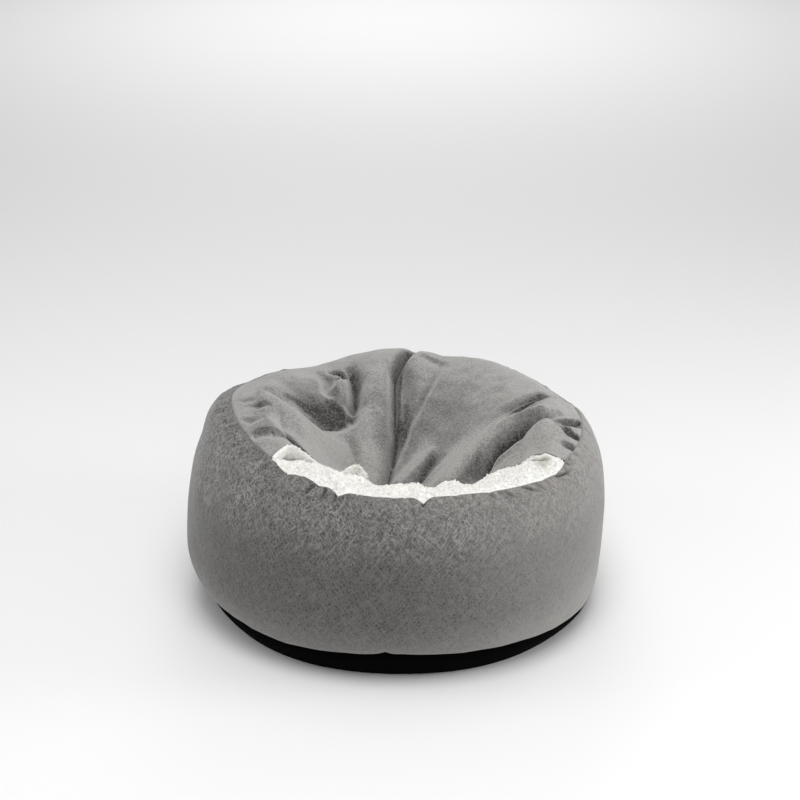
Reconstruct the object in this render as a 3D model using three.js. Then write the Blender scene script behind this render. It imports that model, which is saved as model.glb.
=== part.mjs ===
// Hooded pet bed: a filled fabric ring on a dark base, with a plush hood sewn round its back and sides.
// Millimetres, +Z up. Bearings are in degrees round the bed: 0 is the front (-Y), 90 the right side (+X).
import * as THREE from 'three';

// Driving sizes
const baseThickness = 3;        // base panel fabric with its backing
const contactInset = 25;        // the base touches the floor this far inside the lower seam
const rimInset = 1.5;           // the wall fabric hangs this far over the edge of the base panel
const wallInnerRadius = 158;    // radius of the nest inside the filled wall
const innerRollHeight = 72;     // height over which the wall rounds over into the nest
const cushionRadius = 146;
const cushionEdgeHeight = 30;
const cushionCrown = 50;
const coverThickness = 3;       // plush hood cover
const fleeceThickness = 4;      // fleece on the underside of the hood
const liningThickness = 5;      // deep fleece over the front lip
const liningEndGap = 2.4;       // bearings between the lining and the ends of the hood
const liningHang = 70;          // the fleece goes on down inside the nest by this much
const pieceGap = 0.4;
const drapeClearance = 2;       // the hood stays this far above the wall it lies on
const hoodStack = coverThickness + pieceGap + fleeceThickness + drapeClearance;
const liningSeat = 1.3;          // the lining lies this far off the wall
const liningStack = liningThickness + liningSeat;

// The hood covers the bearings from its right end round the back to its left end
const hoodRightEnd = 60.2;
const hoodLeftEnd = 315.4;
const liningStart = hoodLeftEnd - 360;
const hoodFocus = new THREE.Vector2(-12, -122);   // the hem sags towards this point behind the lip
const hemBite = 0.1;            // share of the way from the focus to the crest that the hem stays back
const hemLowHeight = 178;
const hoodRise = 2.2;           // how late the hood climbs from its low middle to the crest
const hemTurnUp = 10;           // width of fleece turned up along the hem
const turnedGap = 1.1;          // between the turned fleece and the hem of the cover
const turnedRise = 2.5;         // the roll of the hem stands this much above the cover
const widestSetback = 25;       // most bearings that the cover stays back by near the middle of the hem
const hemBlend = 40;            // bearings over which the height of the hem fades into the hood
const coverEdge = 1.97;         // the cover reaches almost to the seam, which is at 2
const fleeceEdge = 1.86;

// How finely each piece is divided
const wallColumns = 72;
const lowerPoints = 5;          // points of the wall's section below the bulge
const upperPoints = 8;          // and from the bulge up to the seam
const rollPoints = 6;           // round the inner edge
const facetReach = 9;           // half of a facet's width on the crest
const hoodColumns = 76;
const hangingRows = 12;          // rows of the hood between its middle and the crest
const cushionColumns = 36;

// Shape of the bed at every 30 degrees of bearing from the front, turning to the right.
// Each pair is a radius and a height: lower seam, widest bulge, upper seam, crest under the hood or lining.
const sectionColumns = ['rimR', 'rimZ', 'bulgeR', 'bulgeZ', 'seamR', 'seamZ', 'crestR', 'crestZ'];
const sections = [
  [278, 45, 297, 110, 244, 255, 224, 258],   // front
  [286, 43, 300, 123, 253, 254, 230, 256],
  [289, 39, 299, 136, 261, 254, 222, 259],
  [286, 36, 298, 150, 262, 259, 208, 282],   // right side
  [281, 33, 300, 142, 258, 262, 205, 288],
  [276, 33, 299, 132, 252, 266, 198, 286],
  [270, 33, 297, 130, 242, 270, 192, 291],   // back
  [268, 34, 299, 127, 235, 274, 188, 289],
  [269, 35, 300, 114, 231, 283, 187, 292],
  [272, 38, 298, 90, 228, 298, 188, 302],    // left side
  [276, 42, 292, 86, 229, 282, 195, 293],
  [278, 44, 291, 94, 234, 262, 212, 268],
];

// Height of the free hem at shares of the way from the focus out to the crest, at the left and right ends
const hemRows = [
  { share: 0.1, left: 180, right: 180 },
  { share: 0.3, left: 200, right: 186 },
  { share: 0.5, left: 232, right: 200 },
  { share: 0.7, left: 253, right: 218 },
  { share: 0.85, left: 273, right: 236 },
];

// Folds of the hood. A path runs inwards from the seam, seen from above. Each point is x, y and the height
// of the fold there, up for a ridge and down for a trough. left and right are the widths of its flanks.
const hoodFolds = [
  // left ridge
  { left: 20, right: 40, path: [
    [-222, 24, 0], [-190, -18, 10], [-160, -40, 14], [-105, -28, 13], [-62, -10, 0],
  ] },
  // left hollow behind it
  { left: 44, right: 18, path: [
    [-206, 30, 0], [-172, -2, -16], [-129, -14, -22], [-88, 6, -20], [-54, 40, 0],
  ] },
  // back left dart, the puff beside it and the hooked crease beyond
  { left: 18, right: 16, path: [[-66, 162, 0], [-57, 124, -14], [-56, 78, -16], [-60, 40, 0]] },
  { left: 20, right: 18, path: [[-76, 122, 0], [-79, 84, 11], [-79, 48, 0]] },
  { left: 16, right: 16, path: [[-102, 131, 0], [-84, 126, -9], [-76, 112, -8], [-82, 98, 0]] },
  // crease beside the left hem
  { left: 16, right: 18, path: [[-196, -116, 0], [-172, -106, -9], [-138, -103, -9], [-112, -112, 0]] },
  // middle panel, middle crease and the shelf to its right
  { left: 26, right: 26, path: [[-36, 175, 0], [-33, 104, 8], [-42, 4, 7], [-34, -60, 0]] },
  { left: 17, right: 17, path: [
    [36, 236, 0], [22, 198, -13], [4, 170, -17], [0, 124, -18], [-3, 52, -17], [-16, -22, -15], [-28, -92, 0],
  ] },
  { left: 20, right: 16, path: [[14, 136, 0], [14, 87, -8], [8, 23, -8], [-2, -16, 0]] },
  // pressed line of the right panel
  { left: 16, right: 14, path: [[72, 180, 0], [52, 106, -6], [25, 50, -6], [4, -6, 0]] },
  // low trough near the hem and the ridge behind it
  { left: 18, right: 16, path: [[70, -8, 0], [46, -34, -12], [25, -62, -12], [14, -86, 0]] },
  { left: 16, right: 16, path: [[54, 0, 0], [18, -36, 7], [2, -62, 0]] },
  // right wedge and the thin ridge that closes it
  { left: 18, right: 24, path: [[240, 48, 0], [213, 8, -15], [169, -10, -10], [142, -18, 0]] },
  { left: 15, right: 15, path: [[243, 10, 0], [206, -26, 9], [167, -28, 7], [132, -38, 0]] },
  // right valley and the ridge of the flap below it
  { left: 16, right: 18, path: [
    [226, -16, 0], [184, -38, -17], [149, -46, -19], [122, -61, -17], [98, -106, 0],
  ] },
  { left: 24, right: 17, path: [
    [238, -20, 0], [191, -56, 11], [152, -66, 10], [126, -85, 7], [112, -108, 0],
  ] },
  // tuck at the right corner
  { left: 17, right: 17, path: [[214, -56, 0], [240, -52, -10], [249, -74, 0]] },
];

// How the crest and the upper seam rise and sink round the back, and how the lip sinks under the hood's ends
const crestRises = [
  [100, 0], [116, -5], [132, -1], [145, 3], [161, -3], [178, 4], [192, -1], [204, -6], [212, -11], [224, -6],
  [240, -4], [262, -4], [275, 0],
];
const lipDrops = [
  [-75, 0], [-60, 22], [-52, 34], [-45, 25], [-36, 10], [-30, 0], [0, -3], [42, -2], [50, 3], [60, 12],
  [70, 14], [85, 0],
];

// Gathers that pull the top of the wall in below the seam
const wallPuckers = [
  { bearing: -50, depth: 4, halfWidth: 7 },
  { bearing: -25, depth: 6, halfWidth: 7 },
  { bearing: 9, depth: 5, halfWidth: 6 },
  { bearing: 34, depth: 4, halfWidth: 7 },
  { bearing: 50, depth: 6, halfWidth: 7 },
  { bearing: 68, depth: 5, halfWidth: 8 },
  { bearing: 116, depth: 3, halfWidth: 9 },
  { bearing: 165, depth: 4, halfWidth: 9 },
  { bearing: 221, depth: 4, halfWidth: 9 },
  { bearing: 255, depth: 4, halfWidth: 8 },
  { bearing: 290, depth: 5, halfWidth: 8 },
];

const mix = THREE.MathUtils.lerp;
const clamp = THREE.MathUtils.clamp;
const smoothstep = THREE.MathUtils.smoothstep;

// Height at a bearing from a table of bearings and heights, and 0 outside the table
function heightFromTable(table, bearing) {
  const next = table.findIndex((row) => row[0] > bearing);
  if (next < 1) {
    return 0;
  }
  const [[fromBearing, fromHeight], [toBearing, toHeight]] = [table[next - 1], table[next]];
  return mix(fromHeight, toHeight, (bearing - fromBearing) / (toBearing - fromBearing));
}

function lipDrop(bearing) {
  return heightFromTable(lipDrops, ((bearing + 540) % 360) - 180);
}

// One value of a closed smooth curve through evenly spaced values
function closedCurveValue(values, place) {
  const count = values.length;
  const start = Math.floor(place);
  const t = place - start;
  const [a, b, c, d] = [-1, 0, 1, 2].map((k) => values[(start + k + 2 * count) % count]);
  return 0.5 * (2 * b + (c - a) * t + (2 * a - 5 * b + 4 * c - d) * t * t + (3 * b - a - 3 * c + d) * t ** 3);
}

// The named sizes of the bed's section at a bearing
function sectionAt(bearing) {
  const place = ((bearing + 720) % 360) / (360 / sections.length);
  const section = {};
  sectionColumns.forEach((name, column) => {
    section[name] = closedCurveValue(sections.map((row) => row[column]), place);
  });
  const rise = heightFromTable(crestRises, (bearing + 720) % 360);
  section.seamZ += rise;
  section.crestZ += rise;
  return section;
}

function bezier(a, b, c, d, t) {
  const u = 1 - t;
  return u ** 3 * a + 3 * u * u * t * b + 3 * u * t * t * c + t ** 3 * d;
}

function pointAt(bearing, radius, height) {
  const angle = THREE.MathUtils.degToRad(bearing);
  return new THREE.Vector3(radius * Math.sin(angle), -radius * Math.cos(angle), height);
}

function bearingDistance(a, b) {
  return Math.abs(((a - b + 540) % 360) - 180);
}

// Wall fabric from the lower seam up to the bulge
function lowerFace(s, t) {
  const out = s.bulgeR - s.rimR;
  const up = s.bulgeZ - s.rimZ;
  return [
    bezier(s.rimR, s.rimR + 0.62 * out, s.bulgeR, s.bulgeR, t),
    bezier(s.rimZ, s.rimZ + 0.08 * up, s.bulgeZ - 0.55 * up, s.bulgeZ, t),
  ];
}

// Wall fabric from the bulge up to the upper seam
function upperFace(s, t) {
  const back = s.bulgeR - s.seamR;
  const up = s.seamZ - s.bulgeZ;
  return [
    bezier(s.bulgeR, s.bulgeR, s.seamR + 0.62 * back, s.seamR, t),
    bezier(s.bulgeZ, s.bulgeZ + 0.5 * up, s.seamZ - 0.16 * up, s.seamZ, t),
  ];
}

// Hood or lining from the upper seam over to the crest
function shoulder(s, t) {
  const back = s.seamR - s.crestR;
  const up = s.crestZ - s.seamZ;
  return [
    bezier(s.seamR, s.seamR - 0.45 * back, s.crestR + 0.3 * back, s.crestR, t),
    bezier(s.seamZ, s.seamZ + 0.55 * up, s.crestZ, s.crestZ, t),
  ];
}

// Nearest place on a fold's path: how far away, on which side, and the fold's height there
function nearestOnPath(x, y, path) {
  let nearest = { distance: Infinity, side: 0, height: 0 };
  for (let k = 0; k + 1 < path.length; k += 1) {
    const [[x0, y0, height0], [x1, y1, height1]] = [path[k], path[k + 1]];
    const along = ((x - x0) * (x1 - x0) + (y - y0) * (y1 - y0)) / ((x1 - x0) ** 2 + (y1 - y0) ** 2);
    const t = clamp(along, 0, 1);
    const awayX = x - mix(x0, x1, t);
    const awayY = y - mix(y0, y1, t);
    const distance = Math.hypot(awayX, awayY);
    if (distance < nearest.distance) {
      const side = (x1 - x0) * awayY - (y1 - y0) * awayX;
      nearest = { distance, side, height: mix(height0, height1, t) };
    }
  }
  return nearest;
}

// Sum of all folds at a place, full on the hanging part and a little flatter over the crest
function foldHeight(x, y, t) {
  const fade = mix(1, 0.6, smoothstep(t, 0.9, 1.2)) * (1 - smoothstep(t, 1.7, 1.95));
  let sum = 0;
  hoodFolds.forEach(({ left, right, path }) => {
    const nearest = nearestOnPath(x, y, path);
    const away = Math.min(nearest.distance / (nearest.side >= 0 ? left : right), 1);
    sum += nearest.height * 0.5 * (1 + Math.cos(Math.PI * away));
  });
  return sum * fade;
}

function hemHeight(side, t, crestZ) {
  const rows = [...hemRows, { share: 1, left: crestZ, right: crestZ }];
  const last = Math.max(1, rows.findIndex((row) => row.share >= Math.min(t, 1)));
  const [from, to] = [rows[last - 1], rows[last]];
  return mix(from[side], to[side], clamp((t - from.share) / (to.share - from.share), 0, 1));
}

function crestPoint(bearing) {
  const section = sectionAt(bearing);
  return pointAt(bearing, section.crestR, section.crestZ);
}

// Height of the hood before its folds, at a share t of the way from the focus to the crest
function hangingHeight(bearing, t, crestZ) {
  const free = mix(hemLowHeight, crestZ, Math.sin((t * Math.PI) / 2) ** hoodRise);
  const rightDistance = bearing - hoodRightEnd;
  const leftDistance = hoodLeftEnd - bearing;
  const side = rightDistance < leftDistance ? 'right' : 'left';
  const away = Math.min(rightDistance, leftDistance);
  return mix(hemHeight(side, t, crestZ), free, smoothstep(away, 0, hemBlend));
}

// Top of the hood: t is 0 at the focus, 1 on the crest and 2 at the seam
function hoodPoint(bearing, t) {
  const section = sectionAt(bearing);
  const crest = pointAt(bearing, section.crestR, section.crestZ);
  let point;
  if (t > 1) {
    point = pointAt(bearing, ...shoulder(section, 2 - t));
  } else {
    const height = hangingHeight(bearing, t, section.crestZ);
    point = new THREE.Vector3(mix(hoodFocus.x, crest.x, t), mix(hoodFocus.y, crest.y, t), height);
  }
  point.z += foldHeight(point.x, point.y, t);
  return point;
}

// Angle round the focus, growing with the bearing
function angleRoundFocus(x, y) {
  const angle = Math.atan2(x - hoodFocus.x, hoodFocus.y - y);
  return angle < 0 ? angle + 2 * Math.PI : angle;
}

// Height of the hood over a place inside the crest, or the hem's height with a slope in front of the hem
function hoodHeightOver(x, y) {
  const angle = angleRoundFocus(x, y);
  const away = Math.hypot(x - hoodFocus.x, y - hoodFocus.y);
  let [low, high] = [hoodRightEnd, hoodLeftEnd];
  for (let step = 0; step < 30; step += 1) {
    const middle = (low + high) / 2;
    const crest = crestPoint(middle);
    if (angleRoundFocus(crest.x, crest.y) < angle) {
      low = middle;
    } else {
      high = middle;
    }
  }
  const crest = crestPoint(low);
  const reach = Math.hypot(crest.x - hoodFocus.x, crest.y - hoodFocus.y);
  const offRay = Math.abs(angleRoundFocus(crest.x, crest.y) - angle);
  const inFront = away * Math.sin(Math.min(offRay, Math.PI / 2));
  return hoodPoint(low, Math.min(away / reach, 1)).z + inFront;
}

// How far the filled wall lies below the visible surface: hood layers at the back, lining at the front,
// and both where the lining is tucked in under the ends of the hood
function coveringDepth(bearing) {
  const turned = (bearing + 720) % 360;
  const underHood = Math.min(turned - hoodRightEnd, hoodLeftEnd - turned);
  const tucked = hoodStack + liningStack - drapeClearance;
  const atEnd = mix(liningStack, tucked, smoothstep(underHood, -10, -1));
  return mix(atEnd, hoodStack, smoothstep(underHood, 4, 14));
}

function puckerDepth(bearing) {
  let depth = 0;
  wallPuckers.forEach((pucker) => {
    const away = Math.min(bearingDistance(bearing, pucker.bearing) / pucker.halfWidth, 1);
    depth += pucker.depth * 0.5 * (1 + Math.cos(Math.PI * away));
  });
  return depth;
}

// Lowest value of a height near a place, so that flat facets also stay under it
function lowestNear(place, heightAt) {
  let lowest = heightAt(place.x, place.y);
  for (let angle = 0; angle < 2 * Math.PI; angle += Math.PI / 3) {
    const x = place.x + facetReach * Math.cos(angle);
    const y = place.y + facetReach * Math.sin(angle);
    lowest = Math.min(lowest, heightAt(x, y));
  }
  return lowest;
}

// Lowered surface of the wall between seam and crest, t from 0 to 1
function loweredShoulder(bearing, section, t, depth) {
  const [radius, height] = shoulder(section, t);
  const trough = lowestNear(pointAt(bearing, radius, height), (x, y) => foldHeight(x, y, 2 - t));
  return [radius, height + Math.min(0, trough) - depth - lipDrop(bearing) * t];
}

// Rounded inner edge of the wall, t from 0 on the crest to 1 on the nest's upright face
function innerRoll(bearing, section, t, depth) {
  const angle = (t * Math.PI) / 2;
  const radius = mix(section.crestR, wallInnerRadius, Math.sin(angle));
  const crest = section.crestZ - depth - lipDrop(bearing);
  const height = crest - innerRollHeight * (1 - Math.cos(angle));
  const room = lowestNear(pointAt(bearing, radius, height), hoodHeightOver) - hoodStack - liningStack;
  return [radius, Math.min(height, room)];
}

// Closed section of the wall at a bearing, as radius and height pairs
function wallSection(bearing) {
  const section = sectionAt(bearing);
  const depth = coveringDepth(bearing);
  const pull = puckerDepth(bearing);
  const outline = [];
  for (let k = 0; k < lowerPoints; k += 1) {
    outline.push(lowerFace(section, k / lowerPoints));
  }
  for (let k = 0; k < upperPoints; k += 1) {
    const t = k / (upperPoints - 1);
    const [radius, height] = upperFace(section, t);
    outline.push([radius - pull * smoothstep(t, 0.55, 0.85) * (1 - smoothstep(t, 0.85, 1)), height]);
  }
  for (const t of [0.02, 0.3, 0.65, 1]) {
    outline.push(loweredShoulder(bearing, section, t, depth));
  }
  for (let k = 1; k <= rollPoints; k += 1) {
    outline.push(innerRoll(bearing, section, k / rollPoints, depth));
  }
  outline.push([wallInnerRadius, baseThickness + pieceGap]);
  const [, , , , dishTop, dishHigh, dishMiddle, dishFloor] = baseSection(section);
  outline.push([dishFloor[0], dishFloor[1] + pieceGap]);
  outline.push([dishMiddle[0] - 2 * pieceGap, dishMiddle[1] + pieceGap]);
  outline.push([dishHigh[0] - 2 * pieceGap, dishHigh[1] + pieceGap]);
  outline.push([dishTop[0] - 2 * pieceGap, dishTop[1] + 2 * pieceGap]);
  return outline;
}

// Closed ring through the same number of points at every bearing
function ringGeometry(columns, sectionOf) {
  const vertices = [];
  const faces = [];
  let rows = 0;
  for (let i = 0; i < columns; i += 1) {
    const bearing = (360 * i) / columns;
    const outline = sectionOf(bearing);
    rows = outline.length;
    outline.forEach(([radius, height]) => vertices.push(...pointAt(bearing, radius, height).toArray()));
  }
  for (let i = 0; i < columns; i += 1) {
    for (let j = 0; j < rows; j += 1) {
      const a = i * rows + j;
      const b = ((i + 1) % columns) * rows + j;
      const c = ((i + 1) % columns) * rows + ((j + 1) % rows);
      const d = i * rows + ((j + 1) % rows);
      faces.push(a, b, c, a, c, d);
    }
  }
  return indexedGeometry(vertices, faces);
}

// Closed round body whose section runs from its lower middle out and back to its upper middle
function discGeometry(columns, bottomZ, topZ, sectionOf) {
  const vertices = [0, 0, bottomZ, 0, 0, topZ];
  const faces = [];
  let rows = 0;
  for (let i = 0; i < columns; i += 1) {
    const bearing = (360 * i) / columns;
    const outline = sectionOf(bearing);
    rows = outline.length;
    outline.forEach(([radius, height]) => vertices.push(...pointAt(bearing, radius, height).toArray()));
  }
  for (let i = 0; i < columns; i += 1) {
    const here = 2 + i * rows;
    const next = 2 + ((i + 1) % columns) * rows;
    faces.push(0, next, here);
    for (let j = 0; j + 1 < rows; j += 1) {
      faces.push(here + j, next + j, next + j + 1, here + j, next + j + 1, here + j + 1);
    }
    faces.push(here + rows - 1, next + rows - 1, 1);
  }
  return indexedGeometry(vertices, faces);
}

// Closed sheet between an upper and a lower grid of points, rows running outwards and columns turning right.
// With followFolds each facet is split along its shorter diagonal, and otherwise all are split the same way.
function sheetGeometry(upper, lower, followFolds = false) {
  const columns = upper.length;
  const rows = upper[0].length;
  const vertices = [];
  const faces = [];
  [upper, lower].forEach((grid) => grid.forEach((column) => column.forEach((point) => {
    vertices.push(...point.toArray());
  })));
  const top = (i, j) => i * rows + j;
  const bottom = (i, j) => columns * rows + i * rows + j;
  const points = [...upper.flat(), ...lower.flat()];
  const quad = (a, b, c, d) => {
    const other = points[b].distanceTo(points[d]) < points[a].distanceTo(points[c]) - 1e-5;
    if (followFolds && other) {
      faces.push(a, b, d, b, c, d);
    } else {
      faces.push(a, b, c, a, c, d);
    }
  };
  for (let i = 0; i + 1 < columns; i += 1) {
    for (let j = 0; j + 1 < rows; j += 1) {
      quad(top(i, j), top(i, j + 1), top(i + 1, j + 1), top(i + 1, j));
      quad(bottom(i, j), bottom(i + 1, j), bottom(i + 1, j + 1), bottom(i, j + 1));
    }
    quad(top(i, 0), top(i + 1, 0), bottom(i + 1, 0), bottom(i, 0));
    quad(top(i + 1, rows - 1), top(i, rows - 1), bottom(i, rows - 1), bottom(i + 1, rows - 1));
  }
  for (let j = 0; j + 1 < rows; j += 1) {
    quad(top(0, j + 1), top(0, j), bottom(0, j), bottom(0, j + 1));
    quad(top(columns - 1, j), top(columns - 1, j + 1), bottom(columns - 1, j + 1), bottom(columns - 1, j));
  }
  return indexedGeometry(vertices, faces);
}

function indexedGeometry(vertices, faces) {
  const geometry = new THREE.BufferGeometry();
  geometry.setAttribute('position', new THREE.Float32BufferAttribute(vertices, 3));
  geometry.setIndex(faces);
  geometry.computeVertexNormals();
  return geometry;
}

// Rows of the hood from its hem bite out to the edge at the seam
function hoodRows(edge) {
  const rows = [];
  for (let k = 0; k <= hangingRows; k += 1) {
    rows.push(mix(hemBite, 1, k / hangingRows));
  }
  rows.push(1.2, 1.45, 1.7, fleeceEdge);
  if (edge > fleeceEdge) {
    rows.push(edge);
  }
  return rows;
}

// Bearing by which the cover stays back from the end of the hood, so that the turned hem has its width
function hemSetback(bearing, t) {
  const crest = crestPoint(bearing);
  const reach = Math.min(t, 1) * Math.hypot(crest.x - hoodFocus.x, crest.y - hoodFocus.y);
  return Math.min(THREE.MathUtils.radToDeg(hemTurnUp / reach), widestSetback);
}

// Bearing of a column of the cover, share 0 at its right end and 1 at its left end
function coverBearing(share, t) {
  const start = hoodRightEnd + hemSetback(hoodRightEnd, t);
  const end = hoodLeftEnd - hemSetback(hoodLeftEnd, t);
  return mix(start, end, share);
}

function lowered(grid, depth) {
  return grid.map((column) => column.map((point) => new THREE.Vector3(point.x, point.y, point.z - depth)));
}

function makeHoodCover() {
  const rows = hoodRows(coverEdge);
  const upper = [];
  for (let i = 0; i <= hoodColumns; i += 1) {
    upper.push(rows.map((t) => hoodPoint(coverBearing(i / hoodColumns, t), t)));
  }
  return sheetGeometry(upper, lowered(upper, coverThickness), true);
}

// Bearing in the strip of turned-up fleece, share 0 on its free edge and 1 just in front of the cover's hem
function turnedBearing(side, share, t) {
  const end = side === 'right' ? hoodRightEnd : hoodLeftEnd;
  const direction = side === 'right' ? 1 : -1;
  const width = hemSetback(end, t) * (1 - turnedGap / hemTurnUp);
  return end + direction * share * width;
}

// One column of the turned-up strip, rolled as high as the cover's hem
function turnedHemColumn(side, share, rows) {
  return rows.map((t) => {
    const point = hoodPoint(turnedBearing(side, share, t), t);
    const roll = Math.sin((Math.PI / 2) * Math.min(0.3 + share, 1));
    point.z += turnedRise * roll * smoothstep(t, hemBite, 0.4) * (1 - smoothstep(t, 1.1, 1.7));
    return point;
  });
}

function makeHoodFleece() {
  const rows = hoodRows(fleeceEdge);
  const underCover = coverThickness + pieceGap;
  const upper = [];
  const lower = [];
  const addColumn = (plain, top) => {
    upper.push(top);
    lower.push(lowered([plain], underCover + fleeceThickness)[0]);
  };
  const addHem = (side, shares) => shares.forEach((share) => {
    const plain = rows.map((t) => hoodPoint(turnedBearing(side, share, t), t));
    addColumn(plain, share === 1 ? lowered([plain], underCover)[0] : turnedHemColumn(side, share, rows));
  });
  addHem('right', [0, 0.5, 0.96, 1]);
  for (let i = 0; i <= hoodColumns; i += 1) {
    const plain = rows.map((t) => hoodPoint(coverBearing(i / hoodColumns, t), t));
    addColumn(plain, lowered([plain], underCover)[0]);
  }
  addHem('left', [1, 0.96, 0.5, 0]);
  return sheetGeometry(upper, lower, true);
}

// Place on the flat facets of the wall: its outline at a bearing between two of its columns
function wallFacetOutline(bearing) {
  const step = 360 / wallColumns;
  const before = Math.floor(bearing / step) * step;
  const share = (bearing - before) / step;
  const from = wallSection(before);
  const to = wallSection(before + step);
  return from.map(([radius, height], k) => {
    const place = pointAt(before, radius, height).lerp(pointAt(before + step, ...to[k]), share);
    return [Math.hypot(place.x, place.y), place.z];
  });
}

// Fleece over the front lip, from the seam over the crest and down into the nest
function makeLiningBand() {
  const step = 360 / wallColumns;
  const bearings = [liningStart + liningEndGap];
  for (let bearing = Math.ceil(liningStart / step) * step; bearing < hoodRightEnd - step / 2; bearing += step) {
    bearings.push(bearing);
  }
  bearings.push(hoodRightEnd - liningEndGap);
  const upper = [];
  const lower = [];
  bearings.forEach((bearing) => {
    const wall = wallFacetOutline(bearing);
    const outline = wall.slice(lowerPoints + upperPoints, -5);
    outline[0] = [mix(outline[0][0], outline[1][0], 0.12), mix(outline[0][1], outline[1][1], 0.12)];
    outline.push([wallInnerRadius, outline[outline.length - 1][1] - liningHang]);
    upper.push(liningFace(bearing, outline, liningThickness + liningSeat));
    lower.push(liningFace(bearing, outline, liningSeat));
  });
  return sheetGeometry(lower, upper);
}

// The wall's outline moved out along its own normal
function liningFace(bearing, outline, offset) {
  return outline.map((point, k) => {
    const before = outline[Math.max(k - 1, 0)];
    const after = outline[Math.min(k + 1, outline.length - 1)];
    const alongR = after[0] - before[0];
    const alongZ = after[1] - before[1];
    const length = Math.hypot(alongR, alongZ);
    const outR = k === 0 ? 0 : alongZ / length;
    const outZ = k === 0 ? 1 : -alongR / length;
    return pointAt(bearing, point[0] + outR * offset, point[1] + outZ * offset);
  });
}

// Section of the dark dish under the bed, from the edge of its flat underside round to its flat floor
function baseSection(section) {
  const contact = section.rimR - contactInset;
  const edge = section.rimR - rimInset;
  const top = section.rimZ - rimInset;
  const low = mix(contact, edge, 0.5);
  const high = mix(contact, edge, 0.85);
  return [
    [contact, 0],
    [low, 0.3 * top],
    [high, 0.65 * top],
    [edge, top],
    [edge - baseThickness, top],
    [high - baseThickness, 0.65 * top + 1],
    [low - baseThickness, 0.3 * top + 2],
    [contact - baseThickness, baseThickness],
  ];
}

function makeBasePanel() {
  return discGeometry(wallColumns, 0, baseThickness, (bearing) => baseSection(sectionAt(bearing)));
}

// Filled pad on the floor of the nest
function makeNestCushion() {
  const bottom = baseThickness + pieceGap;
  return discGeometry(cushionColumns, bottom, cushionCrown, () => [
    [cushionRadius - 12, bottom],
    [cushionRadius, bottom + 0.4 * cushionEdgeHeight],
    [cushionRadius - 3, cushionEdgeHeight],
    [0.85 * cushionRadius, mix(cushionEdgeHeight, cushionCrown, 0.55)],
    [0.5 * cushionRadius, mix(cushionEdgeHeight, cushionCrown, 0.9)],
  ]);
}

const baseMaterial = new THREE.MeshStandardMaterial({ color: '#131313', roughness: 0.85, metalness: 0 });
const suedeMaterial = new THREE.MeshStandardMaterial({ color: '#85817e', roughness: 0.9, metalness: 0 });
const plushMaterial = new THREE.MeshStandardMaterial({ color: '#a19f9d', roughness: 0.95, metalness: 0 });
const fleeceMaterial = new THREE.MeshStandardMaterial({ color: '#ece9e4', roughness: 1, metalness: 0 });

const group = new THREE.Group();

function addPiece(name, geometry, material) {
  const mesh = new THREE.Mesh(geometry, material);
  mesh.name = name;
  group.add(mesh);
}

addPiece('base_panel', makeBasePanel(), baseMaterial);
addPiece('wall_bolster', ringGeometry(wallColumns, wallSection), suedeMaterial);
addPiece('nest_cushion', makeNestCushion(), fleeceMaterial);
addPiece('lining_band', makeLiningBand(), fleeceMaterial);
addPiece('hood_cover', makeHoodCover(), plushMaterial);
addPiece('hood_fleece', makeHoodFleece(), fleeceMaterial);

// The origin is on the floor under the middle of the bed
const middle = new THREE.Box3().setFromObject(group).getCenter(new THREE.Vector3());
group.position.set(-middle.x, -middle.y, 0);

export default group;
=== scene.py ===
# Hooded pet bed: a filled wall in grey microsuede on a dark base, a plush hood with a fleece lining.
# The bed stands on the origin with its open lip towards -Y. Sizes in the tables are millimetres.
import math
import bpy
import bmesh
import numpy as np
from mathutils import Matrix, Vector


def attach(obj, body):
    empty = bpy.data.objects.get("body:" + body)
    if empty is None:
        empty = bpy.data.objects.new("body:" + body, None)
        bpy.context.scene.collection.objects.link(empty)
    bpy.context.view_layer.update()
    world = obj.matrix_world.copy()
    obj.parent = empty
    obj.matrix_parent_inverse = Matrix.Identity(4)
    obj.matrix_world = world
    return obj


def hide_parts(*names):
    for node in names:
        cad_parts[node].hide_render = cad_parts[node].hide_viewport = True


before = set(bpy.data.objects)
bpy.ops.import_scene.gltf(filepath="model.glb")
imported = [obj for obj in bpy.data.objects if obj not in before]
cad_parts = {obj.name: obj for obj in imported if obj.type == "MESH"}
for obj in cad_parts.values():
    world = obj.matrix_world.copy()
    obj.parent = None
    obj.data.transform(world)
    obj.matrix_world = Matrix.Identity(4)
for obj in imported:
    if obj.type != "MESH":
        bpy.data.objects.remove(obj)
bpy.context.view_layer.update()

mm = 0.001
noiseSeed = 7
print("frame loaded, nodes:", ", ".join(sorted(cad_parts)))


# Small helpers
def mix(a, b, t):
    return a + (b - a) * t


def smooth(x, low, high):
    t = np.clip((x - low) / (high - low), 0, 1)
    return t * t * (3 - 2 * t)


def bezier(a, b, c, d, t):
    u = 1 - t
    return u**3 * a + 3 * u * u * t * b + 3 * u * t * t * c + t**3 * d


def degreesFrom(spot, bearing):
    return (bearing - spot + 180) % 360 - 180


def alongBed(table, bearing, start=-180):
    # a value by bearing from a table of pairs, 0 beyond its ends
    return np.interp((bearing - start) % 360 + start, *zip(*table), left=0, right=0)


def linearColour(hexCode):
    # sRGB hex to the linear values that the shader wants
    values = [int(hexCode[k : k + 2], 16) / 255 for k in (1, 3, 5)]
    return [v / 12.92 if v <= 0.04045 else ((v + 0.055) / 1.055) ** 2.4 for v in values] + [1.0]


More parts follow.
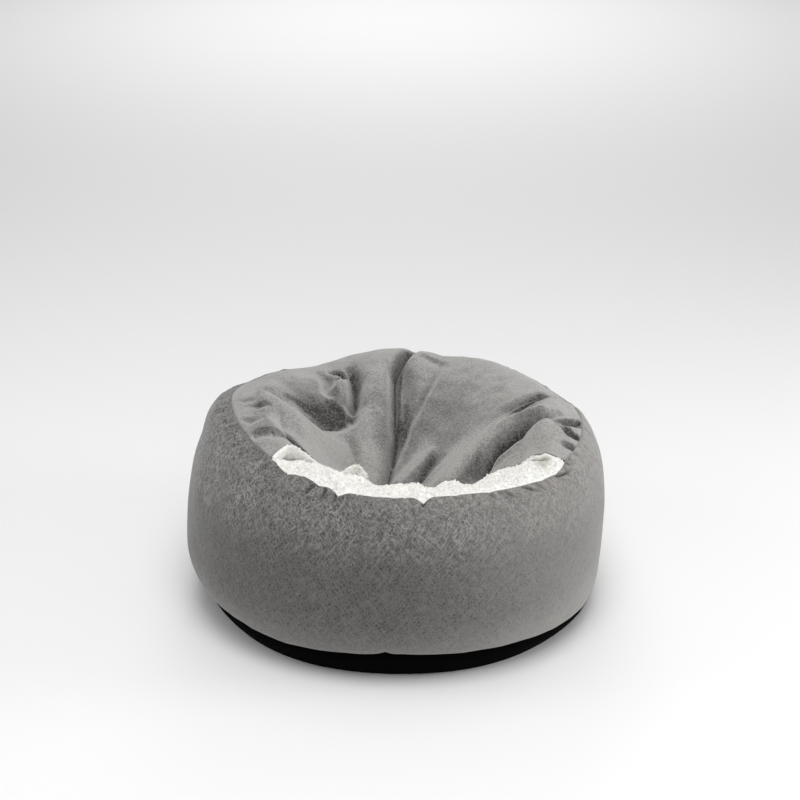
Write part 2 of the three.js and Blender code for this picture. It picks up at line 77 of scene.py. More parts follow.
def addNode(tree, kind, inputs=None, stops=(), **settings):
    # one node with its settings, its values and links, and the colour stops of a ramp
    node = tree.nodes.new(kind)
    for name, value in settings.items():
        setattr(node, name, value)
    for key, value in (inputs or {}).items():
        if isinstance(value, bpy.types.Node):
            value = next(socket for socket in value.outputs if socket.enabled)
        if isinstance(value, bpy.types.NodeSocket):
            tree.links.new(value, node.inputs[key])
        else:
            node.inputs[key].default_value = value
    if stops:
        elements = node.color_ramp.elements
        while len(elements) < len(stops):
            elements.new(0.5)
        for element, (position, colour) in zip(elements, stops):
            element.position = position
            element.color = linearColour(colour)
    return node


lattice = np.random.default_rng(noiseSeed).uniform(-1, 1, (32, 32, 32))


def swells(points, layers):
    # smooth noise, so that cloth lies unevenly but the same each run; a layer is height, width, seed
    total = 0
    for tall, wide, seed in layers:
        p = points / wide + seed * 7.31 + 64
        cell = np.floor(p).astype(int)
        f = p - cell
        f = f * f * (3 - 2 * f)
        for corner in np.ndindex(2, 2, 2):
            weight = tall * np.prod(np.where(corner, f, 1 - f), axis=-1)
            total = total + weight * lattice[tuple(np.moveaxis((cell + corner) % 32, -1, 0))]
    return total


# The bed's section at every 30 degrees of bearing, from the front (-Y) turning to the right (+X):
# radii and heights of the lower seam, the bulge, the upper seam and the crest
bedShape = {
    "rim": ([278, 286, 289, 286, 281, 276, 270, 268, 269, 272, 276, 278],
            [45, 40, 33, 33, 33, 33, 33, 34, 35, 38, 42, 39]),
    "bulge": ([297, 300, 299, 298, 300, 299, 297, 299, 300, 298, 292, 291],
              [110, 123, 136, 150, 142, 132, 130, 127, 114, 90, 86, 94]),
    "seam": ([244, 253, 261, 262, 258, 252, 242, 235, 231, 228, 229, 234],
             [255, 254, 254, 259, 262, 266, 270, 274, 283, 298, 282, 262]),
    "crest": ([224, 230, 222, 208, 205, 198, 192, 188, 187, 188, 195, 212],
              [258, 256, 259, 282, 288, 286, 291, 289, 292, 302, 293, 268]),
}


def ring(name, bearing):
    # radius and height there, smoothly between the values of the table
    values = np.array(bedShape[name], float)
    count = values.shape[1]
    spot = (bearing % 360) / (360 / count)
    i = np.floor(spot).astype(int) % count
    t = spot - np.floor(spot)
    a, b, c, d = [values[:, (i + k) % count] for k in (-1, 0, 1, 2)]
    return 0.5 * (2 * b + (c - a) * t + (2 * a - 5 * b + 4 * c - d) * t**2 + (3 * b - a - 3 * c + d) * t**3)


def pointAt(bearing, radius, height):
    angle = np.radians(bearing)
    return np.stack(np.broadcast_arrays(radius * np.sin(angle), -radius * np.cos(angle), height), -1)


def shoulder(bearing, t):
    # from the upper seam over to the crest
    (seamR, seamZ), (crestR, crestZ) = ring("seam", bearing), ring("crest", bearing)
    back, up = seamR - crestR, crestZ - seamZ
    radius = bezier(seamR, seamR - 0.45 * back, crestR + 0.3 * back, crestR, t)
    return radius, bezier(seamZ, seamZ + 0.55 * up, crestZ, crestZ, t)


# Meshes from grids of points
def addObject(name, data):
    thing = bpy.data.objects.new(name, data)
    bpy.context.scene.collection.objects.link(thing)
    return thing


def newObject(name, points, faces, material):
    mesh = bpy.data.meshes.new(name)
    mesh.from_pydata((np.asarray(points).reshape(-1, 3) * mm).tolist(), [], faces)
    mesh.materials.append(material)
    mesh.polygons.foreach_set("use_smooth", [True] * len(mesh.polygons))
    return addObject(name, mesh)


def gridFaces(columns, rows, start=0, wrapColumns=False, wrapRows=False, flip=False):
    i = np.arange(columns if wrapColumns else columns - 1)
    j = np.arange(rows if wrapRows else rows - 1)
    i, j = [v.ravel() for v in np.meshgrid(i, j, indexing="ij")]
    iNext, jNext = (i + 1) % columns, (j + 1) % rows
    quads = np.stack([i * rows + j, iNext * rows + j, iNext * rows + jNext, i * rows + jNext], -1) + start
    return (quads[:, ::-1] if flip else quads).tolist()


def newSheet(name, upper, lower, material):
    # two grids of points and the strips that close their four edges; rows run outwards
    columns, rows = upper.shape[:2]
    low = columns * rows
    faces = gridFaces(columns, rows, flip=True) + gridFaces(columns, rows, start=low)
    strips = []
    for i in range(columns - 1):
        strips += [(i * rows, (i + 1) * rows), ((i + 2) * rows - 1, (i + 1) * rows - 1)]
    last = (columns - 1) * rows
    for j in range(rows - 1):
        strips += [(j + 1, j), (last + j, last + j + 1)]
    faces += [[a, b, b + low, a + low] for a, b in strips]
    return newObject(name, np.stack([upper, lower]), faces, material)


def cleanShell(piece, distance=0.02):
    # merges doubles at closed edges, then turns every face outwards
    shell = bmesh.new()
    shell.from_mesh(piece.data)
    bmesh.ops.remove_doubles(shell, verts=shell.verts, dist=distance * mm)
    bmesh.ops.recalc_face_normals(shell, faces=shell.faces)
    shell.to_mesh(piece.data)
    shell.free()
    print(piece.name, "made:", len(piece.data.polygons), "faces")
    return piece


def setAttribute(piece, name, upper, lower):
    # one value for each point of the two grids of a sheet
    layer = piece.data.attributes.new(name, "FLOAT", "POINT")
    layer.data.foreach_set("value", np.stack([upper, lower]).ravel())


# Camera and light, in metres and watts
cameraSet = {
    "place": (0.007, -2.089, 1.112),
    "pitch": 21.52,  # degrees down from level
    "lens": 72.36,
}
studio = {
    "floorColour": "#f4f4f4",
    "floorHalf": 16000,  # mm
    "worldStrength": 0.32,
    # name: place, aim, width, watts
    "lights": {
        "sideKey": ((2.3, -0.2, 0.6), (0, 0, 0.25), 1.0, 22),
        "backKey": ((-0.6, 1.9, 2.3), (0, 0, 0.2), 1.2, 3.5),
        "topSoft": ((0, 0.3, 2.6), (0, 0, 0), 2.0, 11.5),
        "frontSoft": ((0.1, -1.2, 2.7), (0, -0.5, 0), 1.8, 34),
        "leftFill": ((-2.4, -0.1, 1.3), (0, 0, 0.15), 1.4, 9),
        "frontLow": ((0, -2.6, 1.3), (0, 0, 0.1), 1.2, 10.5),
        "middleFloor": ((0, 4, 2.4), (0, 4, 0), 2.2, 17),
        "farFloor": ((0, 6.4, 3.4), (0, 6.4, 0), 3.0, 88),
    },
}


def makeCamera():
    camera = addObject("photoCamera", bpy.data.cameras.new("photoCamera"))
    camera.location = cameraSet["place"]
    camera.rotation_euler = (math.radians(90 - cameraSet["pitch"]), 0, 0)
    camera.data.lens = cameraSet["lens"]
    camera.data.clip_end = 60
    bpy.context.scene.camera = camera


def makeStudio():
    scene = bpy.context.scene
    scene.view_settings.view_transform = "Standard"
    scene.world = bpy.data.worlds.new("paleRoom")
    scene.world.use_nodes = True
    background = scene.world.node_tree.nodes["Background"]
    background.inputs["Color"].default_value = (1, 1, 1, 1)
    background.inputs["Strength"].default_value = studio["worldStrength"]
    for name, (place, aim, width, watts) in studio["lights"].items():
        lamp = bpy.data.lights.new(name, "AREA")
        lamp.shape = "DISK"
        lamp.size = width
        lamp.energy = watts
        light = addObject(name, lamp)
        light.location = place
        light.rotation_euler = (Vector(aim) - Vector(place)).to_track_quat("-Z", "Y").to_euler()
    paint = bpy.data.materials.new("matteFloorPaint")
    paint.use_nodes = True
    shader = paint.node_tree.nodes["Principled BSDF"]
    shader.inputs["Base Color"].default_value = linearColour(studio["floorColour"])
    shader.inputs["Roughness"].default_value = 0.9
    corners = studio["floorHalf"] * np.array([(-1, -1, 0), (1, -1, 0), (1, 1, 0), (-1, 1, 0)])
    floor = newObject("studioFloor", corners, [[0, 1, 2, 3]], paint)


makeCamera()
makeStudio()
print("camera and studio made")


# Materials. Noises are: mm across a fleck, detail, roughness. Relief is: strength, mm.
microsuede = {
    "shades": [(0.15, "#454443"), (0.34, "#575655"), (0.6, "#6d6b69"), (1.0, "#868380")],
    "pale": "#9e9b98",
    "hairs": [(2.3, 5.6), (-2.8, 6.4)],  # turn in radians for a metre of height, mm across
    "cell": 4.4,  # mm across one cell of the fine net
    "noises": {"grain": (2.2, 3, 0.7), "hollows": (6.5, 1, 0.5), "patches": (33.333333, 2, 0.5)},
    # what each zone follows, from where to where, and its values there; x and z are in metres
    "zones": {
        "lines": ("hairs", 0, 0.05, 1, 0),
        "net": ("edges", 0, 0.22, 0.2, 0),
        "upper": ("z", 0.15, 0.24, 0.37, 1.05),  # marks stand out towards the upper seam
        "patchy": ("patches", 0.3, 0.7, 0.55, 0.85),
        "pit": ("hollows", 0.3, 0.65, -0.22, 0.03),
        # painted light and shade: the wall is paler towards the right, where the light falls
        "drift": ("x", -0.06, 0.28, -0.11, 0.34),
        "side": ("x", -0.21, 0.1, 0.1, 0.36),  # painted light: the crown is paler, as if lit from above, most of all at the right
        "crown": ("z", 0.225, 0.27, 0, 1),
        # painted shade on the belly, which is darker, and painted light on the foot, which the floor lights
        "belly": ("z", 0.16, 0.22, -0.18, 0),
        "foot": ("z", 0.03, 0.11, 0.45, 0),
    },
    "relief": (0.6, 0.9),
    "finish": {"Roughness": 0.88, "Sheen Weight": 0.35, "Sheen Roughness": 0.45,
               "Sheen Tint": (0.9, 0.9, 0.9, 1), "Specular IOR Level": 0.25},
}
plush = {
    # the darkest stops carry the painted shade in creases and on slopes that face the front
    "shades": [(0.0, "#3a3938"), (0.15, "#565554"), (0.55, "#82807e"), (0.95, "#a8a6a3")],
    # clumps of pile, coarser than the fibres so that they show
    "noises": {"nap": (2.8, 4, 0.75), "tuft": (3.4, 2, 0.6), "drift": (28, 3, 0.6)},
    "ground": -0.39,
    "shares": {"drift": 0.35, "nap": 1.6},
    "relief": (1.0, 1.6),
    "finish": {"Roughness": 0.95, "Sheen Weight": 0.5, "Sheen Roughness": 0.4, "Specular IOR Level": 0.15},
}
fleece = {
    # painted shade in the hollows between the curls, white on their tops
    "shades": [(0.3, "#e4e3dd"), (0.58, "#f5f4f1")],
    # the grey of the painted shade
    "inside": "#c6c5bd",
    "noises": {"curl": (4.5, 5, 0.65)},
    "relief": (0.55, 2),
    "finish": {"Roughness": 1, "Sheen Weight": 0.15, "Specular IOR Level": 0.1, "Subsurface Weight": 0.15,
               "Subsurface Radius": (0.004, 0.004, 0.004)},
}
darkBase = {
    "colour": "#020202",
    "thread": "#060606",
    "pitch": 1.6,
    "relief": (0.3, 0.4),
    "finish": {"Roughness": 1, "Specular IOR Level": 0.03},
}


def startMaterial(name, noises):
    # an empty tree, with the noise fields that the cloth's colour is mixed from
    material = bpy.data.materials.new(name)
    material.use_nodes = True
    tree = material.node_tree
    tree.nodes.clear()
    coords = addNode(tree, "ShaderNodeTexCoord").outputs["Object"]
    fields = {}
    for key, (size, detail, roughness) in noises.items():
        fields[key] = addNode(tree, "ShaderNodeTexNoise", {
            "Vector": coords, "Scale": 1000 / size, "Detail": detail, "Roughness": roughness})
    return material, tree, coords, fields


def finishMaterial(tree, cloth, colour, height):
    strength, depth = cloth["relief"]
    bump = addNode(tree, "ShaderNodeBump", {"Strength": strength, "Distance": depth * mm, "Height": height})
    shader = addNode(tree, "ShaderNodeBsdfPrincipled", {
        "Base Color": colour, "Normal": bump, **cloth["finish"]})
    addNode(tree, "ShaderNodeOutputMaterial", {"Surface": shader})


def leaningHairs(tree, coords, height, lean, across):
    # 0 along thin lines that climb the wall at a slant: the pattern is turned about the bed with height
    turn = addNode(tree, "ShaderNodeMath", {0: height, 1: lean}, operation="MULTIPLY")
    turned = addNode(tree, "ShaderNodeVectorRotate", {"Vector": coords, "Angle": turn},
                     rotation_type="Z_AXIS")
    long = addNode(tree, "ShaderNodeMapping", {"Vector": turned, "Scale": (1, 1, 0.2)})
    field = addNode(tree, "ShaderNodeTexNoise", {
        "Vector": long, "Scale": 1000 / across, "Detail": 1, "Distortion": 0.1})
    off = addNode(tree, "ShaderNodeMath", {0: field, 1: 0.5}, operation="SUBTRACT")
    return addNode(tree, "ShaderNodeMath", {0: off}, operation="ABSOLUTE")


def makeMicrosuede():
    # Embossed polyester microsuede: matt, brushed, with pale crossing hairlines where the pile is pressed.
    # They stand out near the upper seam, where the cloth is gathered, and are faint lower down.
    material, tree, coords, fields = startMaterial("embossedMicrosuede", microsuede["noises"])
    place = addNode(tree, "ShaderNodeSeparateXYZ", {0: coords})
    fields["x"], fields["z"] = place.outputs["X"], place.outputs["Z"]
    fields["edges"] = addNode(tree, "ShaderNodeTexVoronoi", {
        "Vector": coords, "Scale": 1000 / microsuede["cell"]}, feature="DISTANCE_TO_EDGE")
    one, other = [leaningHairs(tree, coords, fields["z"], *row) for row in microsuede["hairs"]]
    fields["hairs"] = addNode(tree, "ShaderNodeMath", {0: one, 1: other}, operation="MINIMUM")
    for name, (source, low, high, first, last) in microsuede["zones"].items():
        fields[name] = addNode(tree, "ShaderNodeMapRange", {
            "Value": fields[source], "From Min": low, "From Max": high, "To Min": first, "To Max": last},
            interpolation_type="SMOOTHSTEP")
    lines = fields["lines"]
    for name in ("upper", "patchy"):
        lines = addNode(tree, "ShaderNodeMath", {0: lines, 1: fields[name]}, operation="MULTIPLY")
    crackle = addNode(tree, "ShaderNodeMath", {0: lines, 1: fields["net"]}, operation="MAXIMUM")
    shade = fields["grain"]
    # painted light and shade on the grain: paler to the right, at the foot and on the crown, darker at the
    # belly
    for name in ("drift", "belly", "foot"):
        shade = addNode(tree, "ShaderNodeMath", {0: shade, 1: fields[name]})
    for name, other in (("side", "crown"), ("pit", "upper")):
        shade = addNode(tree, "ShaderNodeMath", {0: fields[name], 1: fields[other], 2: shade},
                        operation="MULTIPLY_ADD")
    colour = addNode(tree, "ShaderNodeValToRGB", {"Fac": shade}, stops=microsuede["shades"])
    lined = addNode(tree, "ShaderNodeMix", {
        "Factor": crackle, "A": colour, "B": linearColour(microsuede["pale"])}, data_type="RGBA")
    height = addNode(tree, "ShaderNodeMath", {0: fields["grain"], 1: 0.5, 2: crackle},
                     operation="MULTIPLY_ADD")
    finishMaterial(tree, microsuede, lined, height)
    return material


def makePlush():
    # Short brushed velboa plush: speckled where clumps of nap catch the light, and darkened by painted shade
    # in folds and on slopes that face away from the light, with a little nap lying away
    material, tree, coords, fields = startMaterial("brushedPlush", plush["noises"])
    shade = plush["ground"]
    for name, share in plush["shares"].items():
        shade = addNode(tree, "ShaderNodeMath", {0: fields[name], 1: share, 2: shade},
                        operation="MULTIPLY_ADD")
    patchy = addNode(tree, "ShaderNodeMapRange", {
        "Value": fields["tuft"], "From Min": 0.38, "From Max": 0.62, "To Min": -0.32, "To Max": -0.6})
    # painted shade and light from the attribute, mottled by the tufts
    napAndShade = addNode(tree, "ShaderNodeAttribute", attribute_name="napAndPaintedShade").outputs["Fac"]
    shade = addNode(tree, "ShaderNodeMath", {0: napAndShade, 1: patchy, 2: shade}, operation="MULTIPLY_ADD")
    colour = addNode(tree, "ShaderNodeValToRGB", {"Fac": shade}, stops=plush["shades"])
    finishMaterial(tree, plush, colour, fields["nap"])
    return material


def makeFleece():
    # Deep curly polyester fleece: nearly white, with soft painted shade in the hollows between its curls
    material, tree, coords, fields = startMaterial("curlyFleece", fleece["noises"])
    colour = addNode(tree, "ShaderNodeValToRGB", {"Fac": fields["curl"]}, stops=fleece["shades"])
    # painted shade: the fleece turns grey where the attribute says, in the pockets of the turned ends, on
    # the ear's face and on the lip beside the right end
    pressed = addNode(tree, "ShaderNodeAttribute", attribute_name="pressed").outputs["Fac"]
    shadedFleece = addNode(tree, "ShaderNodeMix", {
        "Factor": pressed, "A": colour, "B": linearColour(fleece["inside"])},
        data_type="RGBA", blend_type="MULTIPLY")
    finishMaterial(tree, fleece, shadedFleece, fields["curl"])
    return material


def makeDarkBase():
    # Black non-slip base cloth: a plain tight weave that swallows nearly all light
    material, tree, coords, fields = startMaterial("blackBaseCloth", {})
    threads = addNode(tree, "ShaderNodeTexChecker", {
        "Vector": coords, "Scale": 1000 / darkBase["pitch"],
        "Color1": linearColour(darkBase["colour"]), "Color2": linearColour(darkBase["thread"])})
    finishMaterial(tree, darkBase, threads, threads.outputs["Fac"])
    return material


suedeMaterial = makeMicrosuede()
plushMaterial = makePlush()
fleeceMaterial = makeFleece()
baseMaterial = makeDarkBase()
print("materials made")


lip = {
    # how far the lip's crest sinks under the ends of the hood and between them, by bearing
    "drops": [
        (-52, 36), (-48, 31), (-45, 25), (-42, 19), (-36, 10), (-30, 1), (-22, 3), (-15, 4), (-9, 8),
        (-4, 9), (0, 6), (4, 6), (6.5, 5), (9, 4), (11.7, 8), (14.4, 9), (17, 5), (20, 2), (22.6, 3),
        (25.5, 9), (28.4, 12), (34.5, 13), (37.7, 12), (41, 10), (44.6, 8), (48, 8), (54, 9), (57, 12),
        (60, 18), (64, 24), (67, 24),
    ],
    # how far the upper seam hangs below its plain line
    "sags": [
        (-42, 0), (-40, 3.5), (-38, 5.5), (-35.7, 6), (-33, 1.5), (-30, -1.5), (-27, 0.5), (-23, 3),
        (-18, 4), (-12, 4.5), (-6, 4.5), (0, 3), (5, 2.5), (12, 2), (20, 1.5), (24, 3), (28, 4), (35, 6),
        (42, 7.5), (50, 9.5), (54, 10.5), (57.5, 7), (60, 2), (62, 0),
    ],
    # stitches that pull the seam down: bearing, half width in degrees, depth in mm
    "seamDips": [
        (-16.9, 4, 8), (-24, 3, 2.5), (8.3, 3.2, 9), (28.4, 2.5, 1.5), (-31, 2.5, 1), (47, 3, 1.5),
        (0, 3, 1), (18, 3, 1.2),
    ],
    # how the back crest rises and sinks along the outline
    "backRises": [
        (100, -3), (112, -5), (119, -5), (125, -2), (132, -1), (138, 2), (145, 3), (152, 1), (161, -4),
        (167, 1), (172, 1), (178, 4), (185, 2), (192, -1), (199, -2), (204, -6), (208, -8), (212, -11),
        (217, -9), (224, -6), (234, -4), (246, -5), (262, -4), (275, 0),
    ],
}


def seamDip(bearing):
    return sum(depth * np.clip(1 - np.abs(degreesFrom(spot, bearing)) / width, 0, 1) ** 1.7
               for spot, width, depth in lip["seamDips"])


def crestRise(bearing):
    return alongBed(lip["backRises"], bearing, 0)


def lipPoint(bearing, share):
    # the fleece lip from the seam (share 0) to its crest (share 1)
    radius, height = shoulder(bearing, share)
    pulled = seamDip(bearing) * max(1 - share / 0.4, 0)
    sag = alongBed(lip["sags"], bearing) * max(1 - share / 0.7, 0)
    height = height - alongBed(lip["drops"], bearing) * smooth(share, 0, 1) - 0.65 * pulled - 0.8 * sag
    return radius + 0.76 * pulled + 0.35 * sag, height


# The filled wall
wall = {
    "frontColumns": 560,  # finer where the camera sees the puckers
    "backColumns": 250,
    "seamMean": 255,  # mean radius, for lengths along the upper seam
    "nestRadius": 158,
    "rollHeight": 72,
    "underLip": 9.4,  # how far the filling stays below the fleece
    "lumps": [(2.6, 95, 1), (1.3, 45, 2)],  # how unevenly the filling lies
    "rimWaves": [(1.1, 26, 15)],
    "lowGathers": [(0.8, 14, 5)],
    "leftFuller": 6.5,  # how far the left shoulder stands out
    "stitch": (-2.5, 2.6, 3.2),  # the pulled stitch in the lower seam: bearing, half width, rise
    # fine gathers between the puckers, and how they lean by bearing
    "gathers": [(1.9, 13, 3), (1.52, 7, 4), (0.855, 4, 16)],
    "gatherLean": [
        (-75, 0.6), (-60, 0.55), (-30, 0.47), (-20, 0.35), (0, 0), (20, -0.3), (45, -0.6), (60, -0.6),
        (75, -0.4), (90, 0),
    ],
    # puckers below the upper seam: bearing, half width in mm, depth, reach down the wall, lean in mm
    "puckers": [
        (-71, 9, 1.4, 34, 20), (-64.5, 7, 2, 46, 28), (-58, 10, 1.4, 30, 16), (-52.5, 7, 2, 40, 24),
        (-47, 9, 1.5, 30, 18), (-42.5, 6, 2.2, 38, 22), (-38, 7, 1.6, 24, 12), (-33, 8, 2, 34, 16),
        (-28.5, 6, 1.5, 22, 8), (-25.5, 6, 5.2, 34, 15), (-21.2, 5, 7, 30, 5), (-18.2, 4, 5.8, 24, -4),
        (-15.8, 5, 4, 22, -2), (-14.2, 4, 2.2, 20, -4), (-8, 5, 1, 16, 0), (-2.5, 5, 1, 18, 2),
        (3, 6, 1.2, 20, 4), (8.5, 6, 5.5, 13, 3), (11.5, 4, 1.5, 20, -6), (17, 6, 1.2, 26, -9),
        (22.5, 5, 1.6, 24, -10), (28.2, 5, 4.6, 17, -6), (31.5, 4, 1.6, 30, -16), (33, 5, 5.6, 19, -14),
        (38.8, 6, 6.5, 20, -30), (44, 6, 2.4, 26, -20), (47.5, 5, 1.5, 34, -22), (52.5, 7, 9, 17, -38),
        (59.5, 6, 4.5, 15, -12), (61.8, 6, 4, 13, -8), (66, 6, 2.5, 20, -12), (73, 7, 1.8, 26, -12),
        (84, 9, 2, 26, -4), (97, 10, 2.4, 30, -2), (113, 9, 2, 26, 2), (127, 10, 2.6, 30, 0),
        (142, 9, 2, 24, 2), (156, 10, 2.4, 30, -2), (171, 9, 2.8, 30, 0), (184, 9, 2.2, 26, 0),
        (199, 10, 2.4, 28, 2), (214, 9, 2.4, 28, 0), (229, 10, 2.6, 30, 2), (243, 9, 2.2, 28, 4),
        (257, 10, 2.4, 32, 6), (270, 9, 2, 34, 12), (281, 9, 1.8, 36, 18),
    ],
}


def rimHeight(bearing):
    # the lower seam waves a little
    spot, width, rise = wall["stitch"]
    pulled = np.clip(1 - np.abs(degreesFrom(spot, bearing)) / width, 0, 1) ** 1.5
    return ring("rim", bearing)[1] + swells(pointAt(bearing, 280, 0), wall["rimWaves"]) + rise * pulled


def wallFace(bearing, t):
    # t runs 0 to 1 from the lower seam to the bulge and 1 to 2 from the bulge to the upper seam
    rimR, rimZ = ring("rim", bearing)[0], rimHeight(bearing)
    (bulgeR, bulgeZ), (seamR, seamZ) = ring("bulge", bearing), ring("seam", bearing)
    a, b = np.clip(t, 0, 1), np.clip(t - 1, 0, 1)
    out, up = bulgeR - rimR, bulgeZ - rimZ
    lowR = bezier(rimR, rimR + 0.62 * out, bulgeR, bulgeR, a)
    lowZ = bezier(rimZ, rimZ + 0.08 * up, bulgeZ - 0.55 * up, bulgeZ, a)
    back, rise = bulgeR - seamR, seamZ - bulgeZ
    highR = bezier(bulgeR, bulgeR, seamR + 0.62 * back, seamR, b)
    highZ = bezier(bulgeZ, bulgeZ + 0.5 * rise, seamZ - 0.16 * rise, seamZ, b)
    return np.where(t <= 1, lowR, highR), np.where(t <= 1, lowZ, highZ)


def puckerDepth(bearing, down):
    # down is the way in mm below the upper seam
    depth = 0
    for spot, width, deep, reach, lean in wall["puckers"]:
        aside = np.radians(degreesFrom(spot, bearing)) * wall["seamMean"] + lean * down / reach
        wider = width * (0.6 + 0.6 * np.clip(down / reach, 0, 1))
        across = np.clip(np.abs(aside) / wider, 0, 1)
        creased = mix(0.5 + 0.5 * np.cos(np.pi * across), (1 - across) ** 1.5, 0.5)
        along = smooth(down, -1, 0.15 * reach) * (1 - smooth(down, 0.3 * reach, reach))
        depth = depth + 1.6 * deep * creased * along
    return depth


def seamGather(bearing, down):
    # fine gathers drawn in by the stitches of the upper seam, leaning as the cloth is pulled
    radius = wall["seamMean"]
    angle = bearing + np.degrees(alongBed(wall["gatherLean"], bearing) * down / radius)
    arc = pointAt(angle, radius, down * 0.22)
    return swells(arc, wall["gathers"]) * np.exp(-np.maximum(down, 0) / 22)


def wallInside(bearing):
    # radii and heights of the hidden rows: pinched into the seam, under the hood and the lining,
    # down inside the nest and back along the floor
    rise, dip, sag = crestRise(bearing), seamDip(bearing), alongBed(lip["sags"], bearing)
    sunk = np.minimum(0, rise)
    seamR, seamZ = ring("seam", bearing)
    seamR = seamR + 0.35 * sag + 0.76 * dip
    seamZ = seamZ + rise - 0.8 * sag - 0.65 * dip
    rows = [(seamR - 2, seamZ - 1.5), (seamR - 3.2, seamZ - 5)]
    for share in (0.2, 0.4, 0.7, 1):
        r, z = lipPoint(bearing, share)
        x, y, z = np.moveaxis(pointAt(bearing, r, z), -1, 0)
        fold = np.minimum(0, foldHeights(x, y, 2 - share))
        rows.append((r - 1, z + fold + sunk - wall["underLip"] - 3))
    crestR, crestZ = lipPoint(bearing, 1)
    for share in (0.3, 0.6, 0.85, 1):
        angle = share * np.pi / 2
        r = mix(crestR, wall["nestRadius"], math.sin(angle))
        z = crestZ + sunk - wall["underLip"] - 24 * share - wall["rollHeight"] * (1 - math.cos(angle))
        rows.append((r, np.minimum(z, roomUnderHood(pointAt(bearing, r, z)))))
    rimR, rimZ = ring("rim", bearing)[0], rimHeight(bearing)
    rows += [(158, 120), (158, 60), (158, 6), (160, 4), (rimR - 30, 4), (rimR - 17, 0.42 * rimZ)]
    return rows + [(rimR - 7, 0.8 * rimZ), (rimR - 3.6, 0.97 * rimZ), (rimR - 1.6, rimZ - 0.4)]


def makeWall():
    front = np.linspace(-78, 78, wall["frontColumns"])
    bearing = np.concatenate([front, np.linspace(78, 282, wall["backColumns"] + 2)[1:-1]])
    t = np.concatenate([np.linspace(0, 1, 34)[:-1], 1 + np.linspace(0, 1, 64) ** 0.85])
    b, t = np.meshgrid(bearing, t, indexing="ij")
    radius, height = wallFace(b, t)
    seamR, seamZ = ring("seam", b)
    down = np.hypot(np.maximum(seamZ - height, 0), np.maximum(radius - seamR, 0))
    rise = height - rimHeight(b)
    plain = pointAt(b, radius, height)
    swell = swells(plain, wall["lumps"]) * smooth(down, 0, 40) * smooth(rise, 0, 40)
    lowGather = swells(plain * [1, 1, 0.25], wall["lowGathers"]) * np.exp(-rise / 14) * smooth(rise, 0, 3)
    fuller = wall["leftFuller"] * (1 - smooth(np.abs(degreesFrom(264, b)), 4, 42))
    fuller = fuller * smooth(down, 4, 26) * (1 - smooth(down, 34, 78))
    push = swell + fuller + lowGather - puckerDepth(b, down) - seamGather(b, down)
    push = push * smooth(down, 0, 2.5)  # fades exactly at the upper seam, where the cloth turns in
    normalR, normalZ = np.gradient(height, axis=1), -np.gradient(radius, axis=1)
    length = np.maximum(np.hypot(normalR, normalZ), 1e-6)
    near = np.exp(-((down / 45) ** 2))
    pulled = seamDip(b) * np.exp(-down / 11)
    sag = alongBed(lip["sags"], b) * near
    outer = pointAt(b, radius + push * normalR / length + 0.76 * pulled + 0.35 * sag,
                    height + crestRise(b) * near + push * normalZ / length - 0.65 * pulled - 0.8 * sag)
    inside = [pointAt(bearing, r, z) for r, z in wallInside(bearing)]
    grid = np.concatenate([outer, np.stack(inside, 1)], 1)
    faces = gridFaces(*grid.shape[:2], wrapColumns=True, wrapRows=True)
    return cleanShell(newObject("wallFabric", grid, faces, suedeMaterial))


# The hood: its plain shape, then its folds
hood = {
    "rightEnd": 60.2,  # bearings of both ends of the mouth
    "leftEnd": 315.4,
    "focus": (-12, -122),  # the hem sags towards this point behind the lip
    "bite": 0.02,  # the cloth starts this far from the focus
    "lowHeight": 178,
    "rise": 2.2,
    "hemBlend": 40,  # degrees from the hem to the free cloth
    "hemShares": [0.1, 0.3, 0.5, 0.7, 0.85],  # along the hem, with its heights at the left and right
    "hemLeft": [180, 200, 232, 253, 273],
    "hemRight": [178, 180, 186, 202, 233],
    "columns": 394,
    "seamShare": 1.985,  # where the plush ends, just inside the seam
    "thickness": 2.6,
    "rumples": [(1.1, 36, 6), (0.7, 15, 13)],
    "tucks": ("tuckTop", "tuckSide", "lowTuck"),  # the folds that run right into the seam
}

